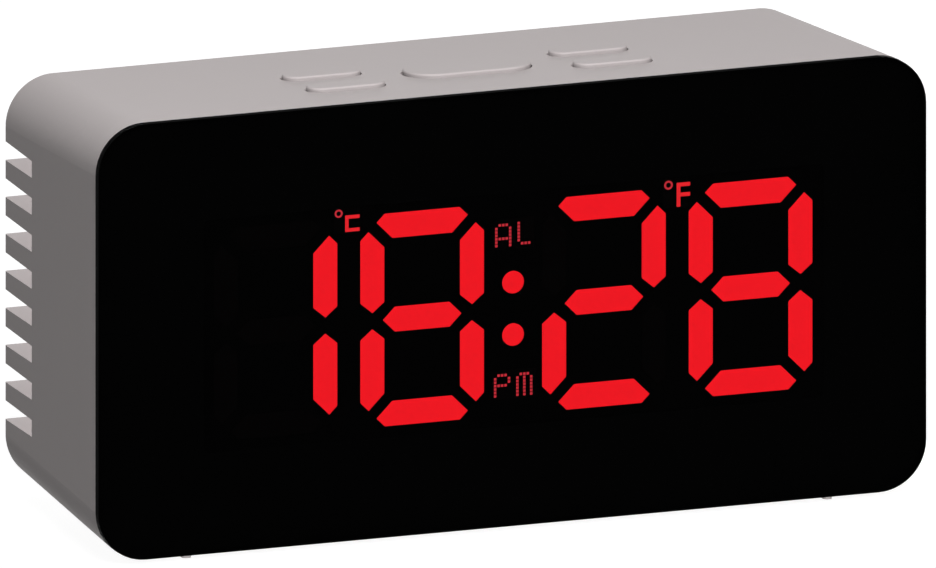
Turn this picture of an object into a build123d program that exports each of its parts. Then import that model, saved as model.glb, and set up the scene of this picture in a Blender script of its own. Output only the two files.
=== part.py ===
from build123d import *
import os
from math import atan, cos, radians, sin, sqrt, tan

os.makedirs("parts", exist_ok=True)

# Sizes are in millimetres. The clock's front looks along -Y and +Z is up. The origin is
# on the surface that the clock stands on, under the middle of the case.

# Case: a rounded box that gets narrower and lower towards the back
case_width = 140.0
case_height = 70.6
case_depth = 46.9
corner_radius = 8.0
side_taper = 2.4
rise_taper = 2.4
wall = 2.2
back_wall = 2.4
back_edge_radius = 0.4
overrun = 5.0

# Front lens and the tape behind it
lens_thickness = 1.4
tape_thickness = 0.2
tape_width = 4.0

# Feet: four upright ribs under the case
foot_drop = 0.85
foot_width = 1.5
foot_length = 8.0
foot_side_inset = 15.8
foot_front_inset = 0.4
foot_back_inset = 3.0
foot_root = 0.55

# Chassis plate that sits in a rebate of the case's front edge
rim = 1.1
fit_gap = 0.2
plate_thickness = 2.0
boss_inset = 5.4
boss_radius = 3.4
boss_length = 12.0

# Screws: one size, with a countersunk or a pan head
screw_radius = 1.0
screw_head_radius = 1.9
screw_head_height = 1.3
countersink_angle = 45.0
thread_gap = 0.05
screw_gap = 0.25
chassis_screw_length = 9.0
board_screw_length = 6.0

# Display: four digits that fill the lens between its margins, and a colon
display_shift_x = 0.74
display_shift_z = -0.42
side_margin = 19.35
rise_margin = 18.025
digit_gap = 3.85
middle_gap = 9.8
stroke = 4.1
segment_gap = 1.84
corner_cut = 1.4
post_gap = 2.5
post_point = 1.7
tip_gap = 1.725
dot_radius = 1.86
dot_rise_share = 0.246
digits_shown = ("bc", "abcdefg", "abdeg", "abcdefg")

# Indicator windows: two beside the tops of the digits, two above and below the dots
unit_shift = -0.3
celsius_drop = 0.575
celsius_width = 4.6
celsius_height = 4.2
fahrenheit_drop = 1.025
fahrenheit_width = 4.2
fahrenheit_height = 4.8
mark_rise_share = 0.709
mark_shift_x = 0.1
mark_shift_z = -0.05
mark_height = 5.0
alarm_width = 7.0
evening_width = 7.4

# Reflector block behind the lens, on the display board
block_margin_x = 2.35
block_margin_z = 2.225
block_depth = 8.0
block_gap = 0.2
cavity_draft_angle = 6.0
resin_depth = 3.0
resin_gap = 0.05
peg_radius = 0.9
peg_inset = 1.6
board_thickness = 1.6
board_margin = 1.0
board_corner = 1.5
post_radius = 2.6
post_side = 3.4
post_inset = 4.0
led_length = 1.6
led_width = 0.8
led_height = 0.6

# Keys on the sloping top: places from the front of the lens and the middle of the case
key_shift = -0.15
key_spread = 45.1
front_row = 14.3
row_spacing = 10.6
small_length = 12.95
small_width = 5.0
snooze_length = 21.0
snooze_width = 10.0
key_proud = 0.7
key_edge_radius = 0.3
key_gap = 0.25
key_seat = 0.1
key_travel = 0.5
flange_lip = 1.0
flange_thickness = 1.0
stem_radius = 1.7
stem_length = 1.6

# Switches under the keys, their board and the shelf that carries it
switch_size = 6.0
switch_height = 3.4
switch_corner = 0.5
plunger_radius = 1.6
plunger_rise = 0.9
plunger_root = 1.1
plunger_gap = 0.1
lug_width = 1.0
lug_reach = 0.8
lug_thickness = 0.2
key_board_thickness = 1.2
key_board_margin = 6.0
shelf_thickness = 1.8
shelf_rib = 2.0
shelf_rib_width = 1.6
shelf_short = 7.0
shelf_screw_spread = 29.0

# Back-up cells and their bay in the back wall
cell_count = 3
cell_diameter = 10.5
cell_length = 44.5
nub_length = 0.8
nub_radius = 1.9
cell_edge_radius = 0.5
cell_gap = 0.4
spring_length = 4.6
spring_radius = 3.4
spring_tip_radius = 2.2
spring_wire = 0.5
contact_thickness = 0.4
contact_plate_width = 8.4
tag_width = 2.4
tag_length = 3.0
bay_wall = 1.6
ridge_width = 3.6
ridge_height = 1.8

# Battery door, hung on two tabs at its lower edge, with a tongue latch at the top
door_thickness = 2.0
door_ledge = 2.6
door_gap = 0.3
door_seat = 0.2
door_corner = 1.5
ledge_thickness = 2.4
frame_margin = 1.8
tab_spread = 36.0
tab_width = 7.0
tab_thickness = 0.8
tab_reach = 1.8
tab_gap = 0.2
tab_play = 0.1
tongue_width = 11.0
tongue_length = 7.0
tongue_slit = 0.8
nib_width = 8.0
nib_depth = 0.2
nib_height = 0.7
door_rib_width = 1.2
door_rib_height = 0.3
door_rib_length = 22.0
notch_length = 15.0
notch_width = 6.0
notch_depth = 1.3

# Vents: slots through both rear ends of the case
vent_count = 8
vent_spacing = 6.0
vent_height = 3.06
vent_depth = 13.5
vent_reach = 12.0
vent_draft_angle = 0.74
vent_wall = 1.8

# Power inlet in the back wall
inlet_z = -14.0
inlet_opening_width = 9.0
inlet_opening_height = 4.2
inlet_opening_corner = 1.0
inlet_recess_width = 12.4
inlet_recess_height = 7.6
inlet_recess_depth = 0.8
socket_width = 7.6
socket_height = 2.7
socket_depth = 5.4
socket_skin = 0.3
socket_bevel = 0.9
socket_inset = 1.2
tongue_share = 0.55
contact_tongue_height = 0.6
inlet_board_width = 10.4
inlet_board_depth = 13.0
inlet_board_thickness = 1.2
rail_width = 2.0
rail_height = 4.4
rail_groove = 0.9
rail_gap = 0.1

# Sounder in a ring on the back wall, behind a ring of small holes
sounder_z = 0.0
sounder_radius = 6.0
sounder_height = 5.5
sounder_seat = 0.3
ring_gap = 0.1
ring_wall = 1.2
ring_height = 4.0
sounder_mouth_radius = 1.4
sounder_mouth_depth = 2.75
sound_hole_radius = 0.7
sound_hole_circle_radius = 3.4
sound_hole_count = 6

# Parts on the back of the display board, as across, up and size
chip_x = -14.0
chip_z = 0.0
chip_length = 15.4
chip_width = 7.5
chip_height = 2.3
chip_lead_count = 10
chip_lead_spacing = 1.27
chip_lead_width = 0.4
chip_lead_reach = 1.3
chip_lead_thickness = 0.25
chip_chamfer = 0.4
crystal_x = 4.0
crystal_z = 6.0
crystal_radius = 1.5
crystal_length = 6.2
crystal_edge = 0.4
capacitor_x = 30.0
capacitor_z = -8.0
capacitor_radius = 3.15
capacitor_length = 7.0
capacitor_edge = 0.6
thermistor_inset = 13.0
thermistor_z = -9.0
thermistor_radius = 1.2
thermistor_stand = 5.0
thermistor_leg = 0.25
thermistor_leg_spread = 1.2

# Leads inside the case
lead_radius = 0.7
twin_width = 2.4
twin_thickness = 1.2
ribbon_width = 6.0
ribbon_thickness = 0.8
ribbon_bend = 5.0
ribbon_drop = 8.0
end_run_share = 0.3
bend_share = 0.45
red_pad_x = 19.0
red_pad_z = -12.0
black_pad_x = -29.0
black_pad_z = 8.0
inlet_pad_shift = 3.0
sounder_pad_shift = 7.0

# Places worked out from the sizes
front_y = -case_depth / 2
back_y = case_depth / 2
seam_y = front_y + lens_thickness
face_y = seam_y + tape_thickness
plate_back_y = face_y + plate_thickness
board_y = face_y + block_depth
board_back_y = board_y + board_thickness
inner_back_y = back_y - back_wall
mid_z = foot_drop + case_height / 2
slope = atan(rise_taper / (back_y - seam_y))

boss_x = case_width / 2 - boss_inset
boss_z = case_height / 2 - boss_inset

digit_height = case_height - 2 * rise_margin
digit_width = (case_width - 2 * side_margin - 2 * digit_gap - middle_gap) / len(digits_shown)
half_digit = digit_width / 2
half_height = digit_height / 2
inner_x = (middle_gap + digit_width) / 2
outer_x = inner_x + digit_width + digit_gap
digit_centres = [-outer_x, -inner_x, inner_x, outer_x]
unit_x = (inner_x + outer_x) / 2
windows = [
    (unit_shift - unit_x, half_height - celsius_drop, celsius_width, celsius_height),
    (unit_shift + unit_x, half_height - fahrenheit_drop, fahrenheit_width, fahrenheit_height),
    (mark_shift_x, mark_shift_z + mark_rise_share * half_height, alarm_width, mark_height),
    (mark_shift_x, mark_shift_z - mark_rise_share * half_height, evening_width, mark_height),
]
block_width = 2 * (outer_x + half_digit + block_margin_x)
block_height = digit_height + 2 * block_margin_z
post_x = block_width / 2 + post_side
post_spread = block_height - 2 * post_inset
board_width = 2 * (post_x + post_radius)
board_height = block_height + 2 * board_margin

cell_spacing = cell_diameter + cell_gap
bay_length = cell_length + spring_length + 2 * contact_thickness
bay_height = cell_count * cell_spacing + cell_gap
bay_depth = door_thickness + door_seat + cell_diameter + 2 * cell_gap
cell_y = back_y - door_thickness - door_seat - cell_gap - cell_diameter / 2
bay_floor_y = back_y - bay_depth
door_width = bay_length + 2 * door_ledge
door_height = bay_height + 2 * door_ledge
pivot_y = back_y - door_thickness / 2
pivot_z = mid_z - door_height / 2 + door_thickness / 2
vent_edge_x = case_width / 2 - side_taper - vent_reach
inlet_x = (door_width / 2 + frame_margin + vent_edge_x - vent_wall) / 2
sounder_x = -inlet_x


def front_plane(y, x=0.0, z=0.0):
    # Parallel to the front at depth y, facing out of it, with +Y of the sketch upwards
    return Plane(origin=(x, y, mid_z + z), x_dir=(1, 0, 0), z_dir=(0, -1, 0))


def display_plane(y):
    return front_plane(y, display_shift_x, display_shift_z)


def side_plane(x, y, z):
    # Across the case, with +X of the sketch towards the back and +Y upwards
    return Plane(origin=(x, y, z), x_dir=(0, 1, 0), z_dir=(1, 0, 0))


def narrowing(y):
    return (y - seam_y) / (back_y - seam_y)


def case_outline(y, inset=0.0):
    # The case's outline at depth y, drawn this far inside its outer face
    RectangleRounded(
        case_width - 2 * (side_taper * narrowing(y) + inset),
        case_height - 2 * (rise_taper * narrowing(y) + inset),
        corner_radius - inset,
    )


def cell_row(index):
    return (index - (cell_count - 1) / 2) * cell_spacing


# Where the contacts' tags go through the bay's floor
tag_x = (bay_length - contact_thickness) / 2
tag_places = [(tag_x, cell_row(0)), (-tag_x, cell_row(cell_count - 1))]

# The top of the case slopes down to the back. Sketches on it have +Y towards the back.
top_plane = Plane(
    origin=(0, seam_y, mid_z + case_height / 2),
    x_dir=(1, 0, 0),
    z_dir=(0, sin(slope), cos(slope)),
)


def along_top(distance):
    # From a distance behind the front of the lens to the sketch's own Y
    return (distance - lens_thickness) / cos(slope)


# Keys, each with its place and size on the top
rear_row = front_row + row_spacing
middle_row = front_row + row_spacing / 2
left_x = key_shift - key_spread / 2
right_x = key_shift + key_spread / 2
keys = {
    "snooze": (key_shift, middle_row, snooze_length, snooze_width),
    "set": (left_x, front_row, small_length, small_width),
    "alarm": (left_x, rear_row, small_length, small_width),
    "up": (right_x, front_row, small_length, small_width),
    "down": (right_x, rear_row, small_length, small_width),
}
flange_top = wall + key_seat
plunger_top = flange_top + flange_thickness + stem_length
switch_top = plunger_top + plunger_rise
key_board_top = switch_top + switch_height
shelf_top = key_board_top + key_board_thickness
key_board_width = key_spread + switch_size + 2 * key_board_margin
key_board_length = row_spacing + switch_size + lug_reach * 2
key_board_y = along_top(middle_row)


# Seven-segment shapes, each an outline from the middle of its digit
def mirrored(points, across=1, up=1):
    return [(across * x, up * z) for x, z in points]


post_inner = half_digit - stroke
bar_inner = half_height - stroke
mitre = segment_gap / sqrt(2)
end_run = stroke - corner_cut
bar_foot = post_inner - mitre
bar_outline = [
    (-bar_foot, bar_inner),
    (-bar_foot - end_run, half_height - corner_cut),
    (-bar_foot - end_run + corner_cut, half_height),
    (bar_foot + end_run - corner_cut, half_height),
    (bar_foot + end_run, half_height - corner_cut),
    (bar_foot, bar_inner),
]
post_head = bar_inner - mitre
shoulder = post_gap / 2 + post_point
post_outline = [
    (post_inner, post_head),
    (half_digit - corner_cut, post_head + end_run),
    (half_digit, post_head + end_run - corner_cut),
    (half_digit, shoulder),
    (half_digit - stroke / 2, post_gap / 2),
    (post_inner, shoulder),
]
middle_tip = half_digit - stroke / 2 - tip_gap
middle_flat = middle_tip - stroke / 2
middle_outline = [
    (-middle_tip, 0),
    (-middle_flat, stroke / 2),
    (middle_flat, stroke / 2),
    (middle_tip, 0),
    (middle_flat, -stroke / 2),
    (-middle_flat, -stroke / 2),
]
segments = {
    "a": bar_outline,
    "b": post_outline,
    "c": mirrored(post_outline, up=-1),
    "d": mirrored(bar_outline, up=-1),
    "e": mirrored(post_outline, across=-1, up=-1),
    "f": mirrored(post_outline, across=-1),
    "g": middle_outline,
}
segment_middles = {
    "a": (0, half_height - stroke / 2),
    "b": (half_digit - stroke / 2, half_height / 2),
    "c": (half_digit - stroke / 2, -half_height / 2),
    "d": (0, stroke / 2 - half_height),
    "e": (stroke / 2 - half_digit, -half_height / 2),
    "f": (stroke / 2 - half_digit, half_height / 2),
    "g": (0, 0),
}
dots = [(0, dot_rise_share * half_height), (0, -dot_rise_share * half_height)]


def draw_segments(letters_of_digits):
    for centre, letters in zip(digit_centres, letters_of_digits):
        with Locations((centre, 0)):
            for letter in letters:
                Polygon(*segments[letter], align=None)


def draw_dots():
    with Locations(*dots):
        Circle(dot_radius)


def draw_windows():
    for x, z, width, height in windows:
        with Locations((x, z)):
            Rectangle(width, height)


# Front lens: one flat panel from edge to edge
with BuildPart() as front_lens:
    with BuildSketch(front_plane(seam_y)):
        case_outline(seam_y)
    extrude(amount=lens_thickness)
front_lens.part.label = "front_lens"
export_step(front_lens.part, "parts/front_lens.step")

# Tape ring between the lens and the chassis plate
with BuildPart() as lens_tape:
    with BuildSketch(front_plane(seam_y)):
        case_outline(seam_y, rim + fit_gap)
    extrude(amount=-tape_thickness)
    with BuildSketch(front_plane(seam_y)):
        case_outline(seam_y, rim + fit_gap + tape_width)
    extrude(amount=-tape_thickness, mode=Mode.SUBTRACT)
lens_tape.part.label = "lens_tape"
export_step(lens_tape.part, "parts/lens_tape.step")

# The case's full outer form, and the hollow that is taken out of it
with BuildPart() as case_form:
    with BuildSketch(front_plane(seam_y)):
        case_outline(seam_y)
    with BuildSketch(front_plane(back_y)):
        case_outline(back_y)
    loft(ruled=True)
    fillet(case_form.faces().sort_by(Axis.Y)[-1].edges(), back_edge_radius)

with BuildPart() as hollow:
    with BuildSketch(front_plane(seam_y)):
        case_outline(seam_y, wall)
    with BuildSketch(front_plane(inner_back_y)):
        case_outline(inner_back_y, wall)
    loft(ruled=True)
    # The bay, the frame round its door and the vent blocks stay solid for now
    with BuildSketch(front_plane(back_y)):
        Rectangle(bay_length + 2 * bay_wall, bay_height + 2 * bay_wall)
    extrude(amount=bay_depth + bay_wall, mode=Mode.SUBTRACT)
    with BuildSketch(front_plane(back_y)):
        Rectangle(door_width + 2 * frame_margin, door_height + 2 * frame_margin)
    extrude(amount=door_thickness + door_seat + ledge_thickness, mode=Mode.SUBTRACT)
    with BuildSketch(front_plane(back_y)):
        with Locations((vent_edge_x - vent_wall, 0)):
            Rectangle(
                case_width,
                vent_count * vent_spacing + 2 * vent_wall,
                align=(Align.MIN, Align.CENTER),
            )
        with Locations((vent_wall - vent_edge_x, 0)):
            Rectangle(
                case_width,
                vent_count * vent_spacing + 2 * vent_wall,
                align=(Align.MAX, Align.CENTER),
            )
    extrude(amount=vent_depth + vent_wall, mode=Mode.SUBTRACT)

# What stands inside the hollow: screw bosses, sounder ring and rails for the inlet board
with BuildPart() as fittings:
    with BuildSketch(front_plane(plate_back_y)):
        with GridLocations(2 * boss_x, 2 * boss_z, 2, 2):
            Circle(boss_radius)
    extrude(amount=-boss_length)
    with BuildSketch(front_plane(inner_back_y, sounder_x, sounder_z)):
        Circle(sounder_radius + ring_gap + ring_wall)
        Circle(sounder_radius + ring_gap, mode=Mode.SUBTRACT)
    extrude(amount=ring_height)
    rail_z = inlet_z - socket_height / 2 - inlet_board_thickness / 2
    with BuildSketch(front_plane(inner_back_y, inlet_x, rail_z)):
        with GridLocations(inlet_board_width + rail_width - 2 * rail_groove, 0, 2, 1):
            Rectangle(rail_width, rail_height)
        Rectangle(
            inlet_board_width + 2 * rail_gap,
            inlet_board_thickness + 2 * rail_gap,
            mode=Mode.SUBTRACT,
        )
    extrude(amount=inlet_board_depth)
    add(case_form.part, mode=Mode.INTERSECT)

# Housing: the moulded shell
with BuildPart() as housing:
    add(case_form.part)
    add(hollow.part, mode=Mode.SUBTRACT)
    add(fittings.part)
    # Rebate for the chassis plate, and the pilot holes of its screws
    with BuildSketch(front_plane(seam_y)):
        case_outline(seam_y, rim)
    extrude(amount=-tape_thickness - plate_thickness, mode=Mode.SUBTRACT)
    with BuildSketch(front_plane(plate_back_y)):
        with GridLocations(2 * boss_x, 2 * boss_z, 2, 2):
            Circle(screw_radius + thread_gap)
    extrude(amount=plate_thickness - chassis_screw_length, mode=Mode.SUBTRACT)
    # Vents at both ends
    for side in (-1, 1):
        with BuildSketch(front_plane(back_y)):
            with Locations((side * vent_edge_x, 0)):
                with GridLocations(0, vent_spacing, 1, vent_count):
                    Rectangle(
                        vent_reach + overrun,
                        vent_height,
                        align=(Align.MIN if side > 0 else Align.MAX, Align.CENTER),
                    )
        extrude(amount=vent_depth, taper=vent_draft_angle, mode=Mode.SUBTRACT)
    # Battery bay with its door recess
    with BuildSketch(front_plane(back_y)):
        Rectangle(bay_length, bay_height)
    extrude(amount=bay_depth, mode=Mode.SUBTRACT)
    with BuildSketch(front_plane(back_y)):
        Rectangle(door_width + 2 * door_gap, door_height + 2 * door_gap)
    extrude(amount=door_thickness + door_seat, mode=Mode.SUBTRACT)
    # Finger notch over the door's tongue
    with BuildSketch(front_plane(back_y, z=door_height / 2)):
        SlotOverall(notch_length, notch_width)
    extrude(amount=notch_depth, mode=Mode.SUBTRACT)
    # Pockets in which the door's tabs turn
    tab_swing = door_thickness / 2 + tab_reach + tab_gap
    tab_front = tab_thickness / 2 + tab_play
    for side in (-1, 1):
        tab_x = side * tab_spread / 2 - tab_width / 2 - tab_gap
        with BuildSketch(side_plane(tab_x, pivot_y, pivot_z)):
            Circle(tab_swing)
            with Locations((tab_front, tab_front)):
                Rectangle(
                    2 * tab_swing, 2 * tab_swing, align=(Align.MAX, Align.MAX), mode=Mode.INTERSECT
                )
        extrude(amount=tab_width + 2 * tab_gap, mode=Mode.SUBTRACT)
    # Slits for the contacts' tags through the bay's floor
    for x, z in tag_places:
        with BuildSketch(front_plane(bay_floor_y, x, z)):
            Rectangle(contact_thickness + 2 * rail_gap, tag_width + 2 * rail_gap)
        extrude(amount=bay_wall, mode=Mode.SUBTRACT)
    # Power inlet and sound holes
    with BuildSketch(front_plane(back_y, inlet_x, inlet_z)):
        RectangleRounded(inlet_opening_width, inlet_opening_height, inlet_opening_corner)
    extrude(amount=back_wall + overrun, mode=Mode.SUBTRACT)
    with BuildSketch(front_plane(back_y, inlet_x, inlet_z)):
        RectangleRounded(inlet_recess_width, inlet_recess_height, inlet_opening_corner)
    extrude(amount=inlet_recess_depth, mode=Mode.SUBTRACT)
    with BuildSketch(front_plane(back_y, sounder_x, sounder_z)):
        Circle(sound_hole_radius)
        with PolarLocations(sound_hole_circle_radius, sound_hole_count):
            Circle(sound_hole_radius)
    extrude(amount=back_wall, mode=Mode.SUBTRACT)
    # Openings for the keys
    for x, distance, length, width in keys.values():
        with BuildSketch(top_plane):
            with Locations((x, along_top(distance))):
                SlotOverall(length + 2 * key_gap, width + 2 * key_gap)
        extrude(amount=-wall - key_seat, mode=Mode.SUBTRACT)
    # Ridges between the cells on the bay's floor
    ridge_length = bay_length - 2 * spring_length
    for index in range(1, cell_count):
        ridge_z = (cell_row(index - 1) + cell_row(index)) / 2
        with BuildSketch(side_plane(-ridge_length / 2, bay_floor_y, mid_z + ridge_z)):
            Polygon((0, -ridge_width / 2), (ridge_height, 0), (0, ridge_width / 2), align=None)
        extrude(amount=ridge_length)
    # Feet, cut level at the bottom
    front_foot_y = seam_y + foot_front_inset
    back_foot_y = back_y - foot_back_inset - foot_length
    for foot_y in (front_foot_y, back_foot_y):
        foot_x = case_width / 2 - foot_side_inset
        foot_top = foot_drop + rise_taper * narrowing(foot_y + foot_length) + foot_root
        with BuildSketch(Plane.XY):
            with Locations((-foot_x, foot_y), (foot_x, foot_y)):
                with Locations((0, foot_length / 2)):
                    SlotOverall(foot_length, foot_width, rotation=90)
        extrude(amount=foot_top)
housing.part.label = "housing"
export_step(housing.part, "parts/housing.step")

# Chassis: the plate behind the lens, the posts of the display board and the key shelf
with BuildPart() as chassis:
    with BuildSketch(front_plane(face_y)):
        case_outline(seam_y, rim + fit_gap)
    extrude(amount=-plate_thickness)
    with BuildSketch(display_plane(plate_back_y)):
        with GridLocations(2 * post_x, post_spread, 2, 2):
            Circle(post_radius)
    extrude(amount=-(board_y - plate_back_y))
    shelf_front = (face_y + plate_thickness / 2 - seam_y) / cos(slope)
    shelf_back = key_board_y + key_board_length / 2
    with BuildSketch(top_plane.offset(-shelf_top)):
        with Locations((key_shift + shelf_short / 2, shelf_front)):
            Rectangle(
                key_board_width - shelf_short,
                shelf_back - shelf_front,
                align=(Align.CENTER, Align.MIN),
            )
    extrude(amount=-shelf_thickness)
    # Ribs under the shelf's two ends, and bosses for the key board's screws
    with BuildSketch(top_plane.offset(-shelf_top - shelf_thickness)):
        with Locations((key_shift + shelf_short / 2, shelf_front)):
            with GridLocations(key_board_width - shelf_short - shelf_rib_width, 0, 2, 1):
                Rectangle(shelf_rib_width, shelf_back - shelf_front, align=(Align.CENTER, Align.MIN))
        with Locations((key_shift, key_board_y)):
            with GridLocations(shelf_screw_spread, 0, 2, 1):
                Circle(post_radius)
    extrude(amount=-shelf_rib)
    with BuildSketch(display_plane(face_y)):
        Rectangle(block_width + 2 * block_gap, block_height + 2 * block_gap)
    extrude(amount=-plate_thickness, mode=Mode.SUBTRACT)
    with BuildSketch(display_plane(board_y)):
        with GridLocations(2 * post_x, post_spread, 2, 2):
            Circle(screw_radius + thread_gap)
    extrude(amount=board_screw_length - board_thickness, mode=Mode.SUBTRACT)
    with BuildSketch(top_plane.offset(-shelf_top)):
        with Locations((key_shift, key_board_y)):
            with GridLocations(shelf_screw_spread, 0, 2, 1):
                Circle(screw_radius + thread_gap)
    extrude(amount=-shelf_thickness - shelf_rib, mode=Mode.SUBTRACT)
    # Countersunk holes of the chassis screws
    with BuildSketch(front_plane(face_y)):
        with GridLocations(2 * boss_x, 2 * boss_z, 2, 2):
            Circle(screw_head_radius + screw_gap)
    extrude(amount=-screw_head_height - screw_gap / 2, taper=countersink_angle, mode=Mode.SUBTRACT)
    with BuildSketch(front_plane(face_y)):
        with GridLocations(2 * boss_x, 2 * boss_z, 2, 2):
            Circle(screw_radius + screw_gap)
    extrude(amount=-plate_thickness, mode=Mode.SUBTRACT)
chassis.part.label = "chassis"
export_step(chassis.part, "parts/chassis.step")

# Reflector: one tapered light well for each bar, dot and indicator
with BuildPart() as reflector:
    with BuildSketch(display_plane(face_y)):
        Rectangle(block_width, block_height)
    extrude(amount=-block_depth)
    with BuildSketch(display_plane(board_y)):
        with GridLocations(block_width - 2 * peg_inset, block_height - 2 * peg_inset, 2, 2):
            Circle(peg_radius)
    extrude(amount=-board_thickness)
    with BuildSketch(display_plane(face_y)):
        draw_segments(["abcdefg"] * len(digit_centres))
        draw_dots()
        draw_windows()
    extrude(amount=-block_depth, taper=cavity_draft_angle, mode=Mode.SUBTRACT)
reflector.part.label = "reflector"
export_step(reflector.part, "parts/reflector.step")

# Resin light guides in the mouths of the wells
with BuildPart() as lit_segments:
    with BuildSketch(display_plane(face_y)):
        draw_segments(digits_shown)
        offset(amount=-resin_gap, kind=Kind.INTERSECTION)
    extrude(amount=-resin_depth, taper=cavity_draft_angle)
lit_segments.part.label = "lit_segments"
export_step(lit_segments.part, "parts/lit_segments.step")

dark_letters = ["".join(sorted(set("abcdefg") - set(shown))) for shown in digits_shown]
with BuildPart() as dark_segments:
    with BuildSketch(display_plane(face_y)):
        draw_segments(dark_letters)
        offset(amount=-resin_gap, kind=Kind.INTERSECTION)
    extrude(amount=-resin_depth, taper=cavity_draft_angle)
dark_segments.part.label = "dark_segments"
export_step(dark_segments.part, "parts/dark_segments.step")

with BuildPart() as colon_dots:
    with BuildSketch(display_plane(face_y)):
        draw_dots()
        offset(amount=-resin_gap)
    extrude(amount=-resin_depth, taper=cavity_draft_angle)
colon_dots.part.label = "colon_dots"
export_step(colon_dots.part, "parts/colon_dots.step")

with BuildPart() as indicator_windows:
    with BuildSketch(display_plane(face_y)):
        draw_windows()
        offset(amount=-resin_gap, kind=Kind.INTERSECTION)
    extrude(amount=-resin_depth, taper=cavity_draft_angle)
indicator_windows.part.label = "indicator_windows"
export_step(indicator_windows.part, "parts/indicator_windows.step")

# Display board, with holes for its screws and for the reflector's pegs
with BuildPart() as display_board:
    with BuildSketch(display_plane(board_y)):
        RectangleRounded(board_width, board_height, board_corner)
        with GridLocations(2 * post_x, post_spread, 2, 2):
            Circle(screw_radius + screw_gap, mode=Mode.SUBTRACT)
        with GridLocations(block_width - 2 * peg_inset, block_height - 2 * peg_inset, 2, 2):
            Circle(peg_radius + thread_gap, mode=Mode.SUBTRACT)
    extrude(amount=-board_thickness)
display_board.part.label = "display_board"
export_step(display_board.part, "parts/display_board.step")

# LED chips, one at the foot of each light well
with BuildPart() as led_chips:
    with BuildSketch(display_plane(board_y)):
        for centre in digit_centres:
            for letter, (x, z) in segment_middles.items():
                upright = letter in "bcef"
                with Locations((centre + x, z)):
                    Rectangle(led_length, led_width, rotation=90 if upright else 0)
        with Locations(*dots, *[(x, z) for x, z, width, height in windows]):
            Rectangle(led_length, led_width)
    extrude(amount=led_height)
led_chips.part.label = "led_chips"
export_step(led_chips.part, "parts/led_chips.step")

# Controller chip, with a row of leads on each long side
with BuildPart() as controller_chip:
    chip_back = board_back_y + chip_lead_thickness
    with BuildSketch(display_plane(chip_back)):
        with Locations((chip_x, chip_z)):
            Rectangle(chip_length, chip_width)
    extrude(amount=-chip_height)
    chamfer(controller_chip.faces().sort_by(Axis.Y)[-1].edges(), chip_chamfer)
    with BuildSketch(display_plane(board_back_y)):
        with Locations((chip_x, chip_z)):
            with GridLocations(chip_lead_spacing, 0, chip_lead_count, 1):
                Rectangle(chip_lead_width, chip_width + 2 * chip_lead_reach)
    extrude(amount=-chip_lead_thickness)
controller_chip.part.label = "controller_chip"
export_step(controller_chip.part, "parts/controller_chip.step")

# Clock crystal, lying on the board
with BuildPart() as crystal:
    crystal_start = (display_shift_x + crystal_x, board_back_y + crystal_radius, mid_z + crystal_z)
    with BuildSketch(side_plane(*crystal_start)):
        Circle(crystal_radius)
    extrude(amount=crystal_length)
    fillet(crystal.faces().sort_by(Axis.X)[-1].edges(), crystal_edge)
crystal.part.label = "crystal"
export_step(crystal.part, "parts/crystal.step")

# Capacitor, standing on the board
with BuildPart() as capacitor:
    with BuildSketch(display_plane(board_back_y)):
        with Locations((capacitor_x, capacitor_z)):
            Circle(capacitor_radius)
    extrude(amount=-capacitor_length)
    fillet(capacitor.faces().sort_by(Axis.Y)[-1].edges(), capacitor_edge)
capacitor.part.label = "capacitor"
export_step(capacitor.part, "parts/capacitor.step")

# Thermistor: a bead on two legs, near the board's end and away from its warm parts
thermistor_x = thermistor_inset - board_width / 2
with BuildPart() as thermistor:
    with BuildSketch(display_plane(board_back_y)):
        with Locations((thermistor_x, thermistor_z)):
            with GridLocations(thermistor_leg_spread, 0, 2, 1):
                Circle(thermistor_leg)
    extrude(amount=-thermistor_stand)
    with Locations((
        display_shift_x + thermistor_x,
        board_back_y + thermistor_stand,
        mid_z + display_shift_z + thermistor_z,
    )):
        Sphere(thermistor_radius)
thermistor.part.label = "thermistor"
export_step(thermistor.part, "parts/thermistor.step")

# Key board on the shelf
with BuildPart() as key_board:
    with BuildSketch(top_plane.offset(-key_board_top)):
        with Locations((key_shift, key_board_y)):
            Rectangle(key_board_width, key_board_length)
            with GridLocations(shelf_screw_spread, 0, 2, 1):
                Circle(screw_radius + screw_gap, mode=Mode.SUBTRACT)
    extrude(amount=-key_board_thickness)
key_board.part.label = "key_board"
export_step(key_board.part, "parts/key_board.step")

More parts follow.
